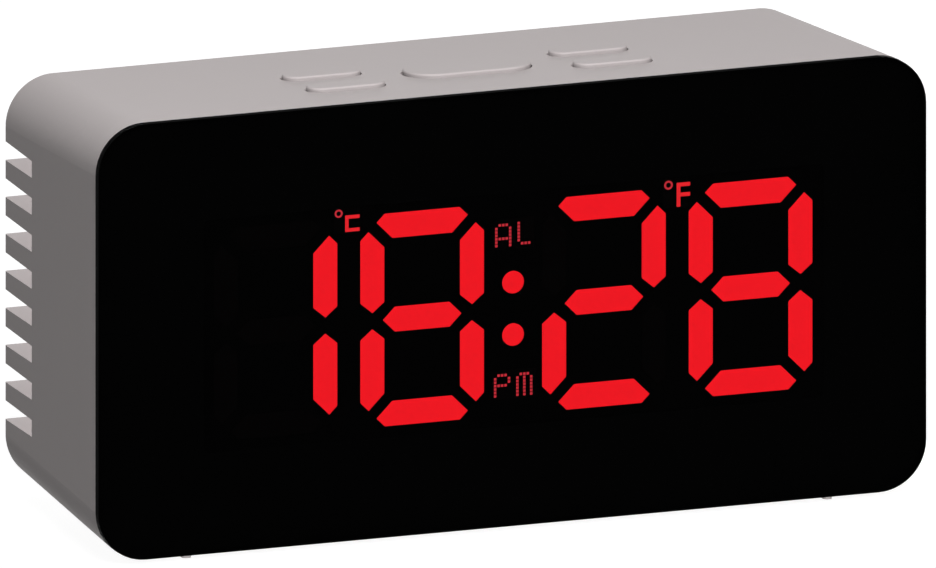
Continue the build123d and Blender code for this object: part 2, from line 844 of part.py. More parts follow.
# Keys, their switches and the switches' plungers
for name, (x, distance, length, width) in keys.items():
    spot = (x, along_top(distance))
    with BuildPart() as key:
        with BuildSketch(top_plane.offset(-flange_top)):
            with Locations(spot):
                SlotOverall(length, width)
        extrude(amount=flange_top + key_proud)
        fillet(key.faces().sort_by(Axis.Z)[-1].edges(), key_edge_radius)
        with BuildSketch(top_plane.offset(-flange_top)):
            with Locations(spot):
                SlotOverall(length + 2 * flange_lip, width + 2 * flange_lip)
        extrude(amount=-flange_thickness)
        with BuildSketch(top_plane.offset(-flange_top - flange_thickness)):
            with Locations(spot):
                Circle(stem_radius)
        extrude(amount=-stem_length)
    key.part.label = f"{name}_key"
    export_step(key.part, f"parts/{name}_key.step")

    with BuildPart() as plunger:
        with BuildSketch(top_plane.offset(-plunger_top)):
            with Locations(spot):
                Circle(plunger_radius)
        extrude(amount=-plunger_rise - plunger_root)
    plunger.part.label = f"{name}_plunger"
    export_step(plunger.part, f"parts/{name}_plunger.step")

    with BuildPart() as switch:
        with BuildSketch(top_plane.offset(-switch_top)):
            with Locations(spot):
                RectangleRounded(switch_size, switch_size, switch_corner)
        extrude(amount=-switch_height)
        with BuildSketch(top_plane.offset(-switch_top)):
            with Locations(spot):
                Circle(plunger_radius + plunger_gap)
        extrude(amount=-plunger_root - key_travel - key_seat, mode=Mode.SUBTRACT)
        with BuildSketch(top_plane.offset(-key_board_top)):
            with Locations(spot):
                with GridLocations(switch_size - lug_width, 0, 2, 1):
                    Rectangle(lug_width, switch_size + 2 * lug_reach)
        extrude(amount=lug_thickness)
    switch.part.label = f"{name}_switch"
    export_step(switch.part, f"parts/{name}_switch.step")

# Cells, laid in turn one way and the other, each pressed by a spring
for index in range(cell_count):
    way = 1 if index % 2 == 0 else -1
    cell_z = mid_z + cell_row(index)
    spring_foot = way * (contact_thickness - bay_length / 2)
    cell_foot = spring_foot + way * spring_length
    nub_end = cell_foot + way * cell_length
    with BuildPart() as cell:
        with BuildSketch(Plane(origin=(cell_foot, cell_y, cell_z), z_dir=(way, 0, 0))):
            Circle(cell_diameter / 2)
        extrude(amount=cell_length - nub_length)
        fillet(cell.edges().filter_by(GeomType.CIRCLE), cell_edge_radius)
        with BuildSketch(Plane(origin=(nub_end, cell_y, cell_z), z_dir=(-way, 0, 0))):
            Circle(nub_radius)
        extrude(amount=nub_length)
    cell.part.label = f"cell_{index + 1}"
    export_step(cell.part, f"parts/cell_{index + 1}.step")

    with BuildPart() as spring:
        axis_start = (spring_foot, cell_y, cell_z)
        with BuildSketch(Plane(origin=axis_start, x_dir=(way, 0, 0), z_dir=(0, -1, 0))):
            Polygon(
                (0, spring_radius),
                (spring_length, spring_tip_radius),
                (spring_length, spring_tip_radius - spring_wire),
                (0, spring_radius - spring_wire),
                align=None,
            )
        revolve(axis=Axis(axis_start, (1, 0, 0)))
    spring.part.label = f"contact_spring_{index + 1}"
    export_step(spring.part, f"parts/contact_spring_{index + 1}.step")

# Contacts on the bay's end walls. The first and last carry a tag through the floor,
# and the links each join one cell to the next.
contacts = {
    "positive_contact": (1, 0, 0, True),
    "negative_contact": (-1, cell_count - 1, cell_count - 1, True),
    "link_contact_1": (-1, 0, 1, False),
    "link_contact_2": (1, 1, 2, False),
}
for name, (side, first, last, tagged) in contacts.items():
    plate_x = side * bay_length / 2 - (contact_thickness if side > 0 else 0)
    middle_row_z = (cell_row(first) + cell_row(last)) / 2
    with BuildPart() as contact:
        with BuildSketch(side_plane(plate_x, cell_y, mid_z + middle_row_z)):
            Rectangle(contact_plate_width, cell_row(last) - cell_row(first) + contact_plate_width)
            if tagged:
                tag_run = cell_y - bay_floor_y + bay_wall + tag_length
                Rectangle(tag_run, tag_width, align=(Align.MAX, Align.CENTER))
        extrude(amount=contact_thickness)
    contact.part.label = name
    export_step(contact.part, f"parts/{name}.step")

# Battery door: full round lower edge, two tabs below it and a tongue latch at the top
with BuildPart() as battery_door:
    with BuildSketch(front_plane(back_y, z=door_height / 2)):
        Rectangle(
            door_width, door_height - door_thickness / 2, align=(Align.CENTER, Align.MAX)
        )
    extrude(amount=door_thickness)
    fillet(battery_door.edges().filter_by(Axis.Y).group_by(Axis.Z)[-1], door_corner)
    with BuildSketch(side_plane(-door_width / 2, pivot_y, pivot_z)):
        Circle(door_thickness / 2)
    extrude(amount=door_width)
    for side in (-1, 1):
        tab_x = side * tab_spread / 2 - tab_width / 2
        with BuildSketch(side_plane(tab_x, pivot_y, pivot_z)):
            Rectangle(
                tab_thickness, door_thickness / 2 + tab_reach, align=(Align.CENTER, Align.MAX)
            )
        extrude(amount=tab_width)
    with BuildSketch(front_plane(back_y, z=door_height / 2)):
        with GridLocations(tongue_width + tongue_slit, 0, 2, 1):
            Rectangle(tongue_slit, tongue_length * 2)
    extrude(amount=door_thickness, mode=Mode.SUBTRACT)
    with BuildSketch(front_plane(back_y - door_thickness + nib_height, z=door_height / 2)):
        Rectangle(nib_width, 2 * nib_depth)
    extrude(amount=nib_height)
    # Low ribs inside, one over each cell
    with BuildSketch(front_plane(back_y - door_thickness)):
        for index in range(cell_count):
            with Locations((0, cell_row(index))):
                Rectangle(door_rib_length, door_rib_width)
    extrude(amount=door_rib_height)
battery_door.part.label = "battery_door"
export_step(battery_door.part, "parts/battery_door.step")

# Power inlet: a metal socket on a small board that slides between two rails
with BuildPart() as inlet_socket:
    with BuildSketch(front_plane(back_y - socket_inset, inlet_x, inlet_z)) as socket_mouth:
        Rectangle(socket_width, socket_height)
        chamfer(socket_mouth.vertices().group_by(Axis.Y)[-1], socket_bevel)
    extrude(amount=socket_depth)
    with BuildSketch(front_plane(back_y - socket_inset, inlet_x, inlet_z)) as socket_hollow:
        Rectangle(socket_width, socket_height)
        chamfer(socket_hollow.vertices().group_by(Axis.Y)[-1], socket_bevel)
        offset(amount=-socket_skin, kind=Kind.INTERSECTION)
        Rectangle(socket_width * tongue_share, contact_tongue_height, mode=Mode.SUBTRACT)
    extrude(amount=socket_depth - 2 * socket_skin, mode=Mode.SUBTRACT)
inlet_socket.part.label = "inlet_socket"
export_step(inlet_socket.part, "parts/inlet_socket.step")

inlet_board_back = inner_back_y - rail_gap
with BuildPart() as inlet_board:
    with BuildSketch(front_plane(inlet_board_back, inlet_x, rail_z)):
        Rectangle(inlet_board_width, inlet_board_thickness)
    extrude(amount=inlet_board_depth - rail_gap)
inlet_board.part.label = "inlet_board"
export_step(inlet_board.part, "parts/inlet_board.step")

# Sounder: a round can in its ring, open at the middle of its back face
with BuildPart() as sounder:
    with BuildSketch(front_plane(inner_back_y - sounder_seat, sounder_x, sounder_z)):
        Circle(sounder_radius)
    extrude(amount=sounder_height)
    with BuildSketch(front_plane(inner_back_y - sounder_seat, sounder_x, sounder_z)):
        Circle(sounder_mouth_radius)
    extrude(amount=sounder_mouth_depth, mode=Mode.SUBTRACT)
sounder.part.label = "sounder"
export_step(sounder.part, "parts/sounder.step")


# Leads inside the case run forward to the back of the display board
def lead_path(start, end):
    # Two straight ends joined by a slanted run, with bends as large as the runs allow
    run = (start.Y - end.Y) * end_run_share
    corners = [start, start - Vector(0, run, 0), end + Vector(0, run, 0), end]
    slant = corners[2] - corners[1]
    half_turn = slant.get_angle(Vector(0, -1, 0)) / 2
    radius = bend_share * min(run, slant.length) / tan(radians(half_turn))
    return FilletPolyline(*corners, radius=radius)


battery_leads = {
    "battery_lead_red": (1, 0, red_pad_x, red_pad_z),
    "battery_lead_black": (-1, cell_count - 1, black_pad_x, black_pad_z),
}
for name, (side, row, pad_x, pad_z) in battery_leads.items():
    lead_start = Vector(side * tag_x, bay_floor_y - bay_wall - tag_length, mid_z + cell_row(row))
    lead_end = Vector(display_shift_x + pad_x, board_back_y, mid_z + pad_z)
    with BuildPart() as lead:
        with BuildLine():
            lead_path(lead_start, lead_end)
        with BuildSketch(Plane(origin=lead_start, x_dir=(1, 0, 0), z_dir=(0, -1, 0))):
            Circle(lead_radius)
        sweep()
    lead.part.label = name
    export_step(lead.part, f"parts/{name}.step")

flat_leads = {
    "inlet_lead": (
        inlet_x,
        inlet_board_back + rail_gap - inlet_board_depth,
        rail_z,
        inlet_pad_shift,
    ),
    "sounder_lead": (
        sounder_x,
        inner_back_y - sounder_seat - sounder_height,
        sounder_z,
        sounder_pad_shift,
    ),
}
for name, (x, y, z, pad_shift) in flat_leads.items():
    lead_start = Vector(x, y, mid_z + z)
    lead_end = Vector(x + pad_shift, board_back_y, mid_z + z)
    with BuildPart() as lead:
        with BuildLine():
            lead_path(lead_start, lead_end)
        with BuildSketch(Plane(origin=lead_start, x_dir=(1, 0, 0), z_dir=(0, -1, 0))):
            Rectangle(twin_width, twin_thickness)
        sweep()
    lead.part.label = name
    export_step(lead.part, f"parts/{name}.step")

# Ribbon from the key board down to the display board
ribbon_x = key_shift - key_board_width / 2 + shelf_short / 2
ribbon_top = top_plane.from_local_coords(Vector(ribbon_x, key_board_y, -shelf_top - rail_gap))
ribbon_bottom_z = ribbon_top.Z - ribbon_drop
with BuildPart() as key_ribbon:
    with BuildLine():
        FilletPolyline(
            ribbon_top,
            (ribbon_x, ribbon_top.Y, ribbon_bottom_z),
            (ribbon_x, board_back_y, ribbon_bottom_z),
            radius=ribbon_bend,
        )
    with BuildSketch(Plane(origin=ribbon_top, x_dir=(1, 0, 0), z_dir=(0, 0, -1))):
        Rectangle(ribbon_width, ribbon_thickness)
    sweep()
key_ribbon.part.label = "key_ribbon"
export_step(key_ribbon.part, "parts/key_ribbon.step")

# Screws: countersunk ones in the chassis plate, pan heads on the two boards
with BuildPart() as chassis_screws:
    with BuildSketch(front_plane(face_y)):
        with GridLocations(2 * boss_x, 2 * boss_z, 2, 2):
            Circle(screw_head_radius)
    extrude(amount=-screw_head_height, taper=countersink_angle)
    with BuildSketch(front_plane(face_y)):
        with GridLocations(2 * boss_x, 2 * boss_z, 2, 2):
            Circle(screw_radius)
    extrude(amount=-chassis_screw_length)
chassis_screws.part.label = "chassis_screws"
export_step(chassis_screws.part, "parts/chassis_screws.step")

with BuildPart() as display_screws:
    with BuildSketch(display_plane(board_back_y)):
        with GridLocations(2 * post_x, post_spread, 2, 2):
            Circle(screw_head_radius)
    extrude(amount=-screw_head_height)
    with BuildSketch(display_plane(board_back_y)):
        with GridLocations(2 * post_x, post_spread, 2, 2):
            Circle(screw_radius)
    extrude(amount=board_screw_length)
display_screws.part.label = "display_screws"
export_step(display_screws.part, "parts/display_screws.step")

with BuildPart() as key_board_screws:
    with BuildSketch(top_plane.offset(-key_board_top)):
        with Locations((key_shift, key_board_y)):
            with GridLocations(shelf_screw_spread, 0, 2, 1):
                Circle(screw_head_radius)
    extrude(amount=screw_head_height)
    with BuildSketch(top_plane.offset(-key_board_top)):
        with Locations((key_shift, key_board_y)):
            with GridLocations(shelf_screw_spread, 0, 2, 1):
                Circle(screw_radius)
    extrude(amount=-key_board_thickness - shelf_thickness - shelf_rib)
key_board_screws.part.label = "key_board_screws"
export_step(key_board_screws.part, "parts/key_board_screws.step")
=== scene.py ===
from math import atan2, cos, degrees, pi, radians, sin

import bmesh
import bpy
from mathutils import Matrix, Vector


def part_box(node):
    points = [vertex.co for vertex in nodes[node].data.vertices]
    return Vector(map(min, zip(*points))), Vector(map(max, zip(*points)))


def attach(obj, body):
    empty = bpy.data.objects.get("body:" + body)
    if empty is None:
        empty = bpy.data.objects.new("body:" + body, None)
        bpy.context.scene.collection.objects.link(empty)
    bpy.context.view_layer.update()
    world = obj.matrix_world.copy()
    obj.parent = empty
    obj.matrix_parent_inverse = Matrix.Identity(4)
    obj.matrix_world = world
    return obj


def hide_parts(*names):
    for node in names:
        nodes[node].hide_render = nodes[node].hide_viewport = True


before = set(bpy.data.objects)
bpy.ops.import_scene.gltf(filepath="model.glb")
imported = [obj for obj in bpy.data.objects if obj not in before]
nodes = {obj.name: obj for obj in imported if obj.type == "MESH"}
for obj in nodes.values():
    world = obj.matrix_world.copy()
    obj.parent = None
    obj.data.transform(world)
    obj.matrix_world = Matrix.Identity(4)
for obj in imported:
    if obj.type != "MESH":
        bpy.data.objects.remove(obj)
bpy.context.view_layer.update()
scene = bpy.context.scene
mm = 0.001
print("frame loaded:", len(nodes), "nodes")

lensLow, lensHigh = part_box("front_lens")
lensMiddle = Vector((0, lensLow.y, (lensLow.z + lensHigh.z) / 2))
blockLow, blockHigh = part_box("reflector")
displayMiddle = (blockLow + blockHigh) / 2
displayMiddle.y = blockLow.y
topFacing = Vector((0, 0.0527, 0.9986))  # square to the sloping top, its keys and the key board

keyNodes = ("snooze_key", "set_key", "alarm_key", "up_key", "down_key")

# Camera, where the photograph was taken from
camera = {
    "imageWidth": 936,
    "imageHeight": 568,
    "pixelsPerMetre": 6344,
    "lensMiddleAcross": 512.46,  # where the middle of the lens lies in the image, in pixels
    "lensMiddleDown": 308.45,
    "turn": 21.26,
    "lift": 13.64,
    "distance": 0.8,
}


def makeCamera():
    turn, lift = radians(camera["turn"]), radians(camera["lift"])
    back = Vector((-sin(turn) * cos(lift), -cos(turn) * cos(lift), sin(lift)))
    facing = (-back).to_track_quat("-Z", "Y")
    right, up = facing @ Vector((1, 0, 0)), facing @ Vector((0, 1, 0))
    across = (camera["lensMiddleAcross"] - camera["imageWidth"] / 2) / camera["pixelsPerMetre"]
    down = (camera["lensMiddleDown"] - camera["imageHeight"] / 2) / camera["pixelsPerMetre"]
    lens = bpy.data.cameras.new("photoCamera")
    lens.type = "ORTHO"
    lens.ortho_scale = camera["imageWidth"] / camera["pixelsPerMetre"]
    holder = bpy.data.objects.new("photoCamera", lens)
    holder.location = lensMiddle - right * across + up * down + back * camera["distance"]
    holder.rotation_euler = facing.to_euler()
    scene.collection.objects.link(holder)
    scene.camera = holder


# Studio: softboxes in front and behind, fills in front and below, a plain sky and a pale floor
studio = {
    "skyLevel": 0.1,
    "lampDistance": 1.3,
    "floorSize": 8.0,
    "floorColor": (0.1, 0.1, 0.1),
    "floorSeenColor": 0.36,
    "floorSeenGlow": 0.93,
    "floorRoughness": 0.9,
    "outside": ("housing", "battery_door", *keyNodes),
}
fromFront = (-0.172, -0.72, 0.62)
lamps = {
    # level: light on a surface that faces the lamp, where 1 shows a colour as written
    # falls: what it lights. The fills cast no shadow, so they fall on the outside alone
    "frontSoftbox": {"towards": fromFront, "size": 0.6, "level": 0.45, "falls": "inside"},
    "frontFill": {"towards": fromFront, "size": 0.4, "level": 1.27, "falls": "outside"},
    "backSoftbox": {"towards": (0.3, 0.95, 0.06), "size": 0.5, "level": 0.7, "falls": "all"},
    "underFill": {"towards": (0.1, 0.3, -1.0), "size": 0.9, "level": 0.13, "falls": "outside"},
}


def addNode(tree, kind, values=None, **settings):
    node = tree.nodes.new(kind)
    for key, value in settings.items():
        setattr(node, key, value)
    for key, value in (values or {}).items():
        node.inputs[key].default_value = value
    return node


def combine(tree, operation, first, second):
    node = addNode(tree, "ShaderNodeMath", operation=operation)
    for place, value in enumerate((first, second)):
        if isinstance(value, (int, float)):
            node.inputs[place].default_value = value
        else:
            tree.links.new(value, node.inputs[place])
    return node.outputs[0]


def farFrom(tree, value, middle):
    return combine(tree, "ABSOLUTE", combine(tree, "SUBTRACT", value, middle), 0.0)


def seenDirectly(tree):
    # 1 for what the camera, a mirror or glass shows, and 0 for light on surfaces
    path = addNode(tree, "ShaderNodeLightPath").outputs
    bounced = combine(tree, "MAXIMUM", path["Is Glossy Ray"], path["Is Transmission Ray"])
    return combine(tree, "MAXIMUM", bounced, path["Is Camera Ray"])


def makeSky():
    world = bpy.data.worlds.new("plainSky")
    world.use_nodes = True
    tree = world.node_tree
    sky = tree.nodes["Background"]
    sky.inputs["Color"].default_value = (1, 1, 1, 1)
    level = addNode(tree, "ShaderNodeMapRange", {"To Min": studio["skyLevel"], "To Max": 1.0})
    tree.links.new(seenDirectly(tree), level.inputs["Value"])
    tree.links.new(level.outputs[0], sky.inputs["Strength"])
    scene.world = world


def makeLamps():
    receivers = {}
    for label, state in (("outside", "INCLUDE"), ("inside", "EXCLUDE")):
        receivers[label] = bpy.data.collections.new(label + "Receivers")
        for node in studio["outside"]:
            receivers[label].objects.link(nodes[node])
        for entry in receivers[label].collection_objects:
            entry.light_linking.link_state = state
    for name, look in lamps.items():
        towards = Vector(look["towards"]).normalized()
        light = bpy.data.lights.new(name, "AREA")
        light.shape = "DISK"
        light.size = look["size"]
        light.energy = look["level"] * (pi * studio["lampDistance"]) ** 2
        light.use_shadow = look["falls"] != "outside"
        lamp = bpy.data.objects.new(name, light)
        lamp.location = lensMiddle + towards * studio["lampDistance"]
        lamp.rotation_euler = (-towards).to_track_quat("-Z", "Y").to_euler()
        lamp.visible_glossy = name != "backSoftbox"  # keeps its glare off the top
        scene.collection.objects.link(lamp)
        if look["falls"] != "all":
            lamp.light_linking.receiver_collection = receivers[look["falls"]]


def makeFloor():
    material = bpy.data.materials.new("paleFloor")
    material.use_nodes = True
    tree = material.node_tree
    plain = tree.nodes["Principled BSDF"]
    plain.inputs["Base Color"].default_value = (*studio["floorColor"], 1)
    plain.inputs["Roughness"].default_value = studio["floorRoughness"]
    plain.inputs["Specular IOR Level"].default_value = 0.0
    seen = studio["floorSeenColor"]
    shadowed = addNode(tree, "ShaderNodeBsdfDiffuse", {"Color": (seen, seen, seen, 1)})
    glow = addNode(tree, "ShaderNodeEmission", {"Strength": studio["floorSeenGlow"]})
    both = addNode(tree, "ShaderNodeAddShader")
    pick = addNode(tree, "ShaderNodeMixShader")
    tree.links.new(shadowed.outputs[0], both.inputs[0])
    tree.links.new(glow.outputs[0], both.inputs[1])
    tree.links.new(seenDirectly(tree), pick.inputs["Fac"])
    tree.links.new(plain.outputs[0], pick.inputs[1])
    tree.links.new(both.outputs[0], pick.inputs[2])
    # From below the floor is clear, so that the underside can be looked at
    below = addNode(tree, "ShaderNodeNewGeometry")
    clear = addNode(tree, "ShaderNodeBsdfTransparent")
    through = addNode(tree, "ShaderNodeMixShader")
    tree.links.new(below.outputs["Backfacing"], through.inputs["Fac"])
    tree.links.new(pick.outputs[0], through.inputs[1])
    tree.links.new(clear.outputs[0], through.inputs[2])
    tree.links.new(through.outputs[0], tree.nodes["Material Output"].inputs["Surface"])
    bm = bmesh.new()
    bmesh.ops.create_grid(bm, x_segments=1, y_segments=1, size=studio["floorSize"] / 2)
    mesh = bpy.data.meshes.new("floor")
    bm.to_mesh(mesh)
    bm.free()
    mesh.materials.append(material)
    floor = bpy.data.objects.new("floor", mesh)
    scene.collection.objects.link(floor)


makeCamera()
makeSky()
makeLamps()
makeFloor()
scene.view_settings.view_transform = "Standard"
print("camera, lamps and floor placed")


# Shared finishes, each one a node group that is placed in the materials with their own values
def startGroup(name, inputs, outputs):
    group = bpy.data.node_groups.new(name, "ShaderNodeTree")
    for label, kind, value in inputs:
        socket = group.interface.new_socket(label, in_out="INPUT", socket_type="NodeSocket" + kind)
        if value is not None:
            socket.default_value = value
    for label, kind in outputs:
        group.interface.new_socket(label, in_out="OUTPUT", socket_type="NodeSocket" + kind)
    return group, addNode(group, "NodeGroupInput"), addNode(group, "NodeGroupOutput")


def drift(tree, source, centre, amount):
    # centre plus or minus amount, as the source goes from 0 to 1
    node = addNode(tree, "ShaderNodeMapRange")
    tree.links.new(source, node.inputs["Value"])
    tree.links.new(combine(tree, "SUBTRACT", centre, amount), node.inputs["To Min"])
    tree.links.new(combine(tree, "ADD", centre, amount), node.inputs["To Max"])
    return node.outputs[0]


def mixColors(tree, mask, first, second):
    node = addNode(tree, "ShaderNodeMix", data_type="RGBA")
    tree.links.new(mask, node.inputs["Factor"])
    tree.links.new(first, node.inputs[6])
    tree.links.new(second, node.inputs[7])
    return node.outputs[2]


skinInputs = [
    ("Vector", "Vector", None),
    ("Color", "Color", (0.5, 0.5, 0.5, 1)),
    ("Grain Scale", "Float", 4000.0),
    ("Cloud Scale", "Float", 60.0),
    ("Mottle", "Float", 0.02),
    ("Roughness", "Float", 0.5),
    ("Roughness Drift", "Float", 0.05),
]
skinOutputs = [("Color", "Color"), ("Roughness", "Float"), ("Height", "Float")]


def finishSkinGroup(group, entry, leave, cloud, grain):
    # The cloud drifts the tone, and the grain drifts the gloss and makes the relief
    tone = addNode(group, "ShaderNodeHueSaturation")
    group.links.new(entry.outputs["Vector"], cloud.inputs["Vector"])
    group.links.new(entry.outputs["Cloud Scale"], cloud.inputs["Scale"])
    group.links.new(entry.outputs["Grain Scale"], grain.inputs["Scale"])
    value = drift(group, cloud.outputs["Fac"], 1.0, entry.outputs["Mottle"])
    group.links.new(value, tone.inputs["Value"])
    group.links.new(entry.outputs["Color"], tone.inputs["Color"])
    gloss = (entry.outputs["Roughness"], entry.outputs["Roughness Drift"])
    group.links.new(tone.outputs[0], leave.inputs["Color"])
    group.links.new(drift(group, grain.outputs["Fac"], *gloss), leave.inputs["Roughness"])
    group.links.new(grain.outputs["Fac"], leave.inputs["Height"])


def makeSkinGroup():
    # Moulded or painted skin: fine grain, and slow drifts of tone and gloss
    group, entry, leave = startGroup("mouldedSkin", skinInputs, skinOutputs)
    cloud = addNode(group, "ShaderNodeTexNoise", {"Detail": 3.0, "Roughness": 0.55})
    grain = addNode(group, "ShaderNodeTexNoise", {"Detail": 2.0, "Roughness": 0.6})
    group.links.new(entry.outputs["Vector"], grain.inputs["Vector"])
    finishSkinGroup(group, entry, leave, cloud, grain)
    return group


def makeMetalGroup():
    # Rolled or drawn metal: long fine lines along X, and dull cloudy patches
    group, entry, leave = startGroup("rolledMetal", skinInputs, skinOutputs)
    stretch = addNode(group, "ShaderNodeMapping", {"Scale": (0.04, 1.0, 1.0)})
    lines = addNode(group, "ShaderNodeTexNoise", {"Detail": 4.0, "Roughness": 0.7})
    cloud = addNode(group, "ShaderNodeTexNoise", {"Detail": 2.0})
    group.links.new(entry.outputs["Vector"], stretch.inputs["Vector"])
    group.links.new(stretch.outputs[0], lines.inputs["Vector"])
    finishSkinGroup(group, entry, leave, cloud, lines)
    return group


def makeBandGroup():
    # 1 where one coordinate lies between From and To, with soft ends, and 0 elsewhere
    labels = (("Value", 0.0), ("From", 0.0), ("To", 1.0), ("Soft", 0.0001))
    inputs = [(label, "Float", value) for label, value in labels]
    group, entry, leave = startGroup("band", inputs, [("Mask", "Float")])
    start, end = entry.outputs["From"], entry.outputs["To"]
    middle = combine(group, "MULTIPLY", combine(group, "ADD", start, end), 0.5)
    reach = combine(group, "SUBTRACT", end, middle)
    fade = addNode(group, "ShaderNodeMapRange", {"To Min": 1.0, "To Max": 0.0})
    group.links.new(farFrom(group, entry.outputs["Value"], middle), fade.inputs["Value"])
    group.links.new(combine(group, "SUBTRACT", reach, entry.outputs["Soft"]), fade.inputs["From Min"])
    group.links.new(reach, fade.inputs["From Max"])
    group.links.new(fade.outputs[0], leave.inputs["Mask"])
    return group


trackInputs = [
    ("Vector", "Vector", None),
    ("Mask Color", "Color", (0.01, 0.08, 0.03, 1)),
    ("Track Color", "Color", (0.02, 0.16, 0.05, 1)),
    ("Pad Color", "Color", (0.7, 0.68, 0.64, 1)),
    ("Run", "Float", 5.3),
    ("Pitch", "Float", 1.27),
    ("Width", "Float", 0.16),
]
trackOutputs = [("Color", "Color"), ("Metal", "Float"), ("Roughness", "Float"), ("Height", "Float")]
trackLook = {
    "rowShift": 0.37,  # of every other row of runs, in runs
    "shortRun": 0.6,  # length of the runs in every third row, in runs
    "shortEvery": 3,
    "holeEvery": 2,  # pitches from hole to hole
    "holeRadius": 0.14,  # as a share of the way from hole to hole
    "holePatches": 0.11,  # of the noise that says where there are holes, to the millimetre
    "holesAbove": 0.5,  # the level of that noise
    "roughness": (0.3, 0.42),  # of the lacquer, away from a track and over it
}


def makeTrackGroup():
    # Printed board: tracks under a coloured lacquer, and rows of plated holes; lengths in millimetres
    group, entry, leave = startGroup("printedTracks", trackInputs, trackOutputs)
    inMillimetres = addNode(group, "ShaderNodeVectorMath", operation="SCALE")
    inMillimetres.inputs["Scale"].default_value = 1 / mm
    lines = addNode(group, "ShaderNodeTexBrick", {"Scale": 1.0, "Mortar Smooth": 0.2})
    lines.offset = trackLook["rowShift"]
    lines.squash = trackLook["shortRun"]
    lines.squash_frequency = trackLook["shortEvery"]
    holes = addNode(group, "ShaderNodeTexVoronoi", {"Randomness": 0.0}, voronoi_dimensions="2D")
    where = addNode(group, "ShaderNodeTexNoise", {"Scale": trackLook["holePatches"], "Detail": 0.0})
    group.links.new(entry.outputs["Vector"], inMillimetres.inputs[0])
    for texture in (lines, holes, where):
        group.links.new(inMillimetres.outputs[0], texture.inputs["Vector"])
    group.links.new(entry.outputs["Run"], lines.inputs["Brick Width"])
    group.links.new(entry.outputs["Pitch"], lines.inputs["Row Height"])
    group.links.new(entry.outputs["Width"], lines.inputs["Mortar Size"])
    often = combine(group, "DIVIDE", 1 / trackLook["holeEvery"], entry.outputs["Pitch"])
    group.links.new(often, holes.inputs["Scale"])
    some = combine(group, "GREATER_THAN", where.outputs["Fac"], trackLook["holesAbove"])
    inside = combine(group, "LESS_THAN", holes.outputs["Distance"], trackLook["holeRadius"])
    plated = combine(group, "MULTIPLY", some, inside)
    colors = [entry.outputs[label] for label in ("Mask Color", "Track Color", "Pad Color")]
    lacquer = mixColors(group, lines.outputs["Fac"], colors[0], colors[1])
    group.links.new(mixColors(group, plated, lacquer, colors[2]), leave.inputs["Color"])
    group.links.new(plated, leave.inputs["Metal"])
    plain, raised = trackLook["roughness"]
    rough = addNode(group, "ShaderNodeMapRange", {"To Min": plain, "To Max": raised})
    group.links.new(lines.outputs["Fac"], rough.inputs["Value"])
    group.links.new(rough.outputs[0], leave.inputs["Roughness"])
    group.links.new(combine(group, "ADD", lines.outputs["Fac"], plated), leave.inputs["Height"])
    return group


mouldedSkin = makeSkinGroup()
rolledMetal = makeMetalGroup()
bandMask = makeBandGroup()
printedTracks = makeTrackGroup()


def startMaterial(name):
    material = bpy.data.materials.new(name)
    material.use_nodes = True
    tree = material.node_tree
    place = addNode(tree, "ShaderNodeTexCoord")
    return material, tree, tree.nodes["Principled BSDF"], place.outputs["Object"]


def placeGroup(tree, group, vector, look):
    node = addNode(tree, "ShaderNodeGroup", node_tree=group)
    for label, key in (
        ("Grain Scale", "grain"),
        ("Cloud Scale", "cloud"),
        ("Mottle", "mottle"),
        ("Roughness", "rough"),
        ("Roughness Drift", "roughDrift"),
    ):
        if key in look:
            node.inputs[label].default_value = look[key]
    node.inputs["Color"].default_value = (*look["color"], 1)
    tree.links.new(vector, node.inputs["Vector"])
    return node


def bumpFrom(tree, shader, height, depth):
    bump = addNode(tree, "ShaderNodeBump", {"Distance": depth, "Strength": 1.0})
    tree.links.new(height, bump.inputs["Height"])
    tree.links.new(bump.outputs[0], shader.inputs["Normal"])


def dressShader(tree, shader, skin, look):
    tree.links.new(skin.outputs["Color"], shader.inputs["Base Color"])
    tree.links.new(skin.outputs["Roughness"], shader.inputs["Roughness"])
    shader.inputs["Metallic"].default_value = look.get("metallic", 0.0)
    shader.inputs["Specular IOR Level"].default_value = look.get("shine", 0.5)
    shader.inputs["Alpha"].default_value = look.get("alpha", 1.0)


def makeSkin(name, look, group=mouldedSkin):
    material, tree, shader, vector = startMaterial(name)
    skin = placeGroup(tree, group, vector, look)
    dressShader(tree, shader, skin, look)
    bumpFrom(tree, shader, skin.outputs["Height"], look["depth"])
    return material


def maskBetween(tree, value, start, end, soft):
    values = {"From": start, "To": end, "Soft": soft}
    node = addNode(tree, "ShaderNodeGroup", values, node_tree=bandMask)
    tree.links.new(value, node.inputs["Value"])
    return node.outputs["Mask"]


def separate(tree, vector):
    node = addNode(tree, "ShaderNodeSeparateXYZ")
    tree.links.new(vector, node.inputs[0])
    return node.outputs


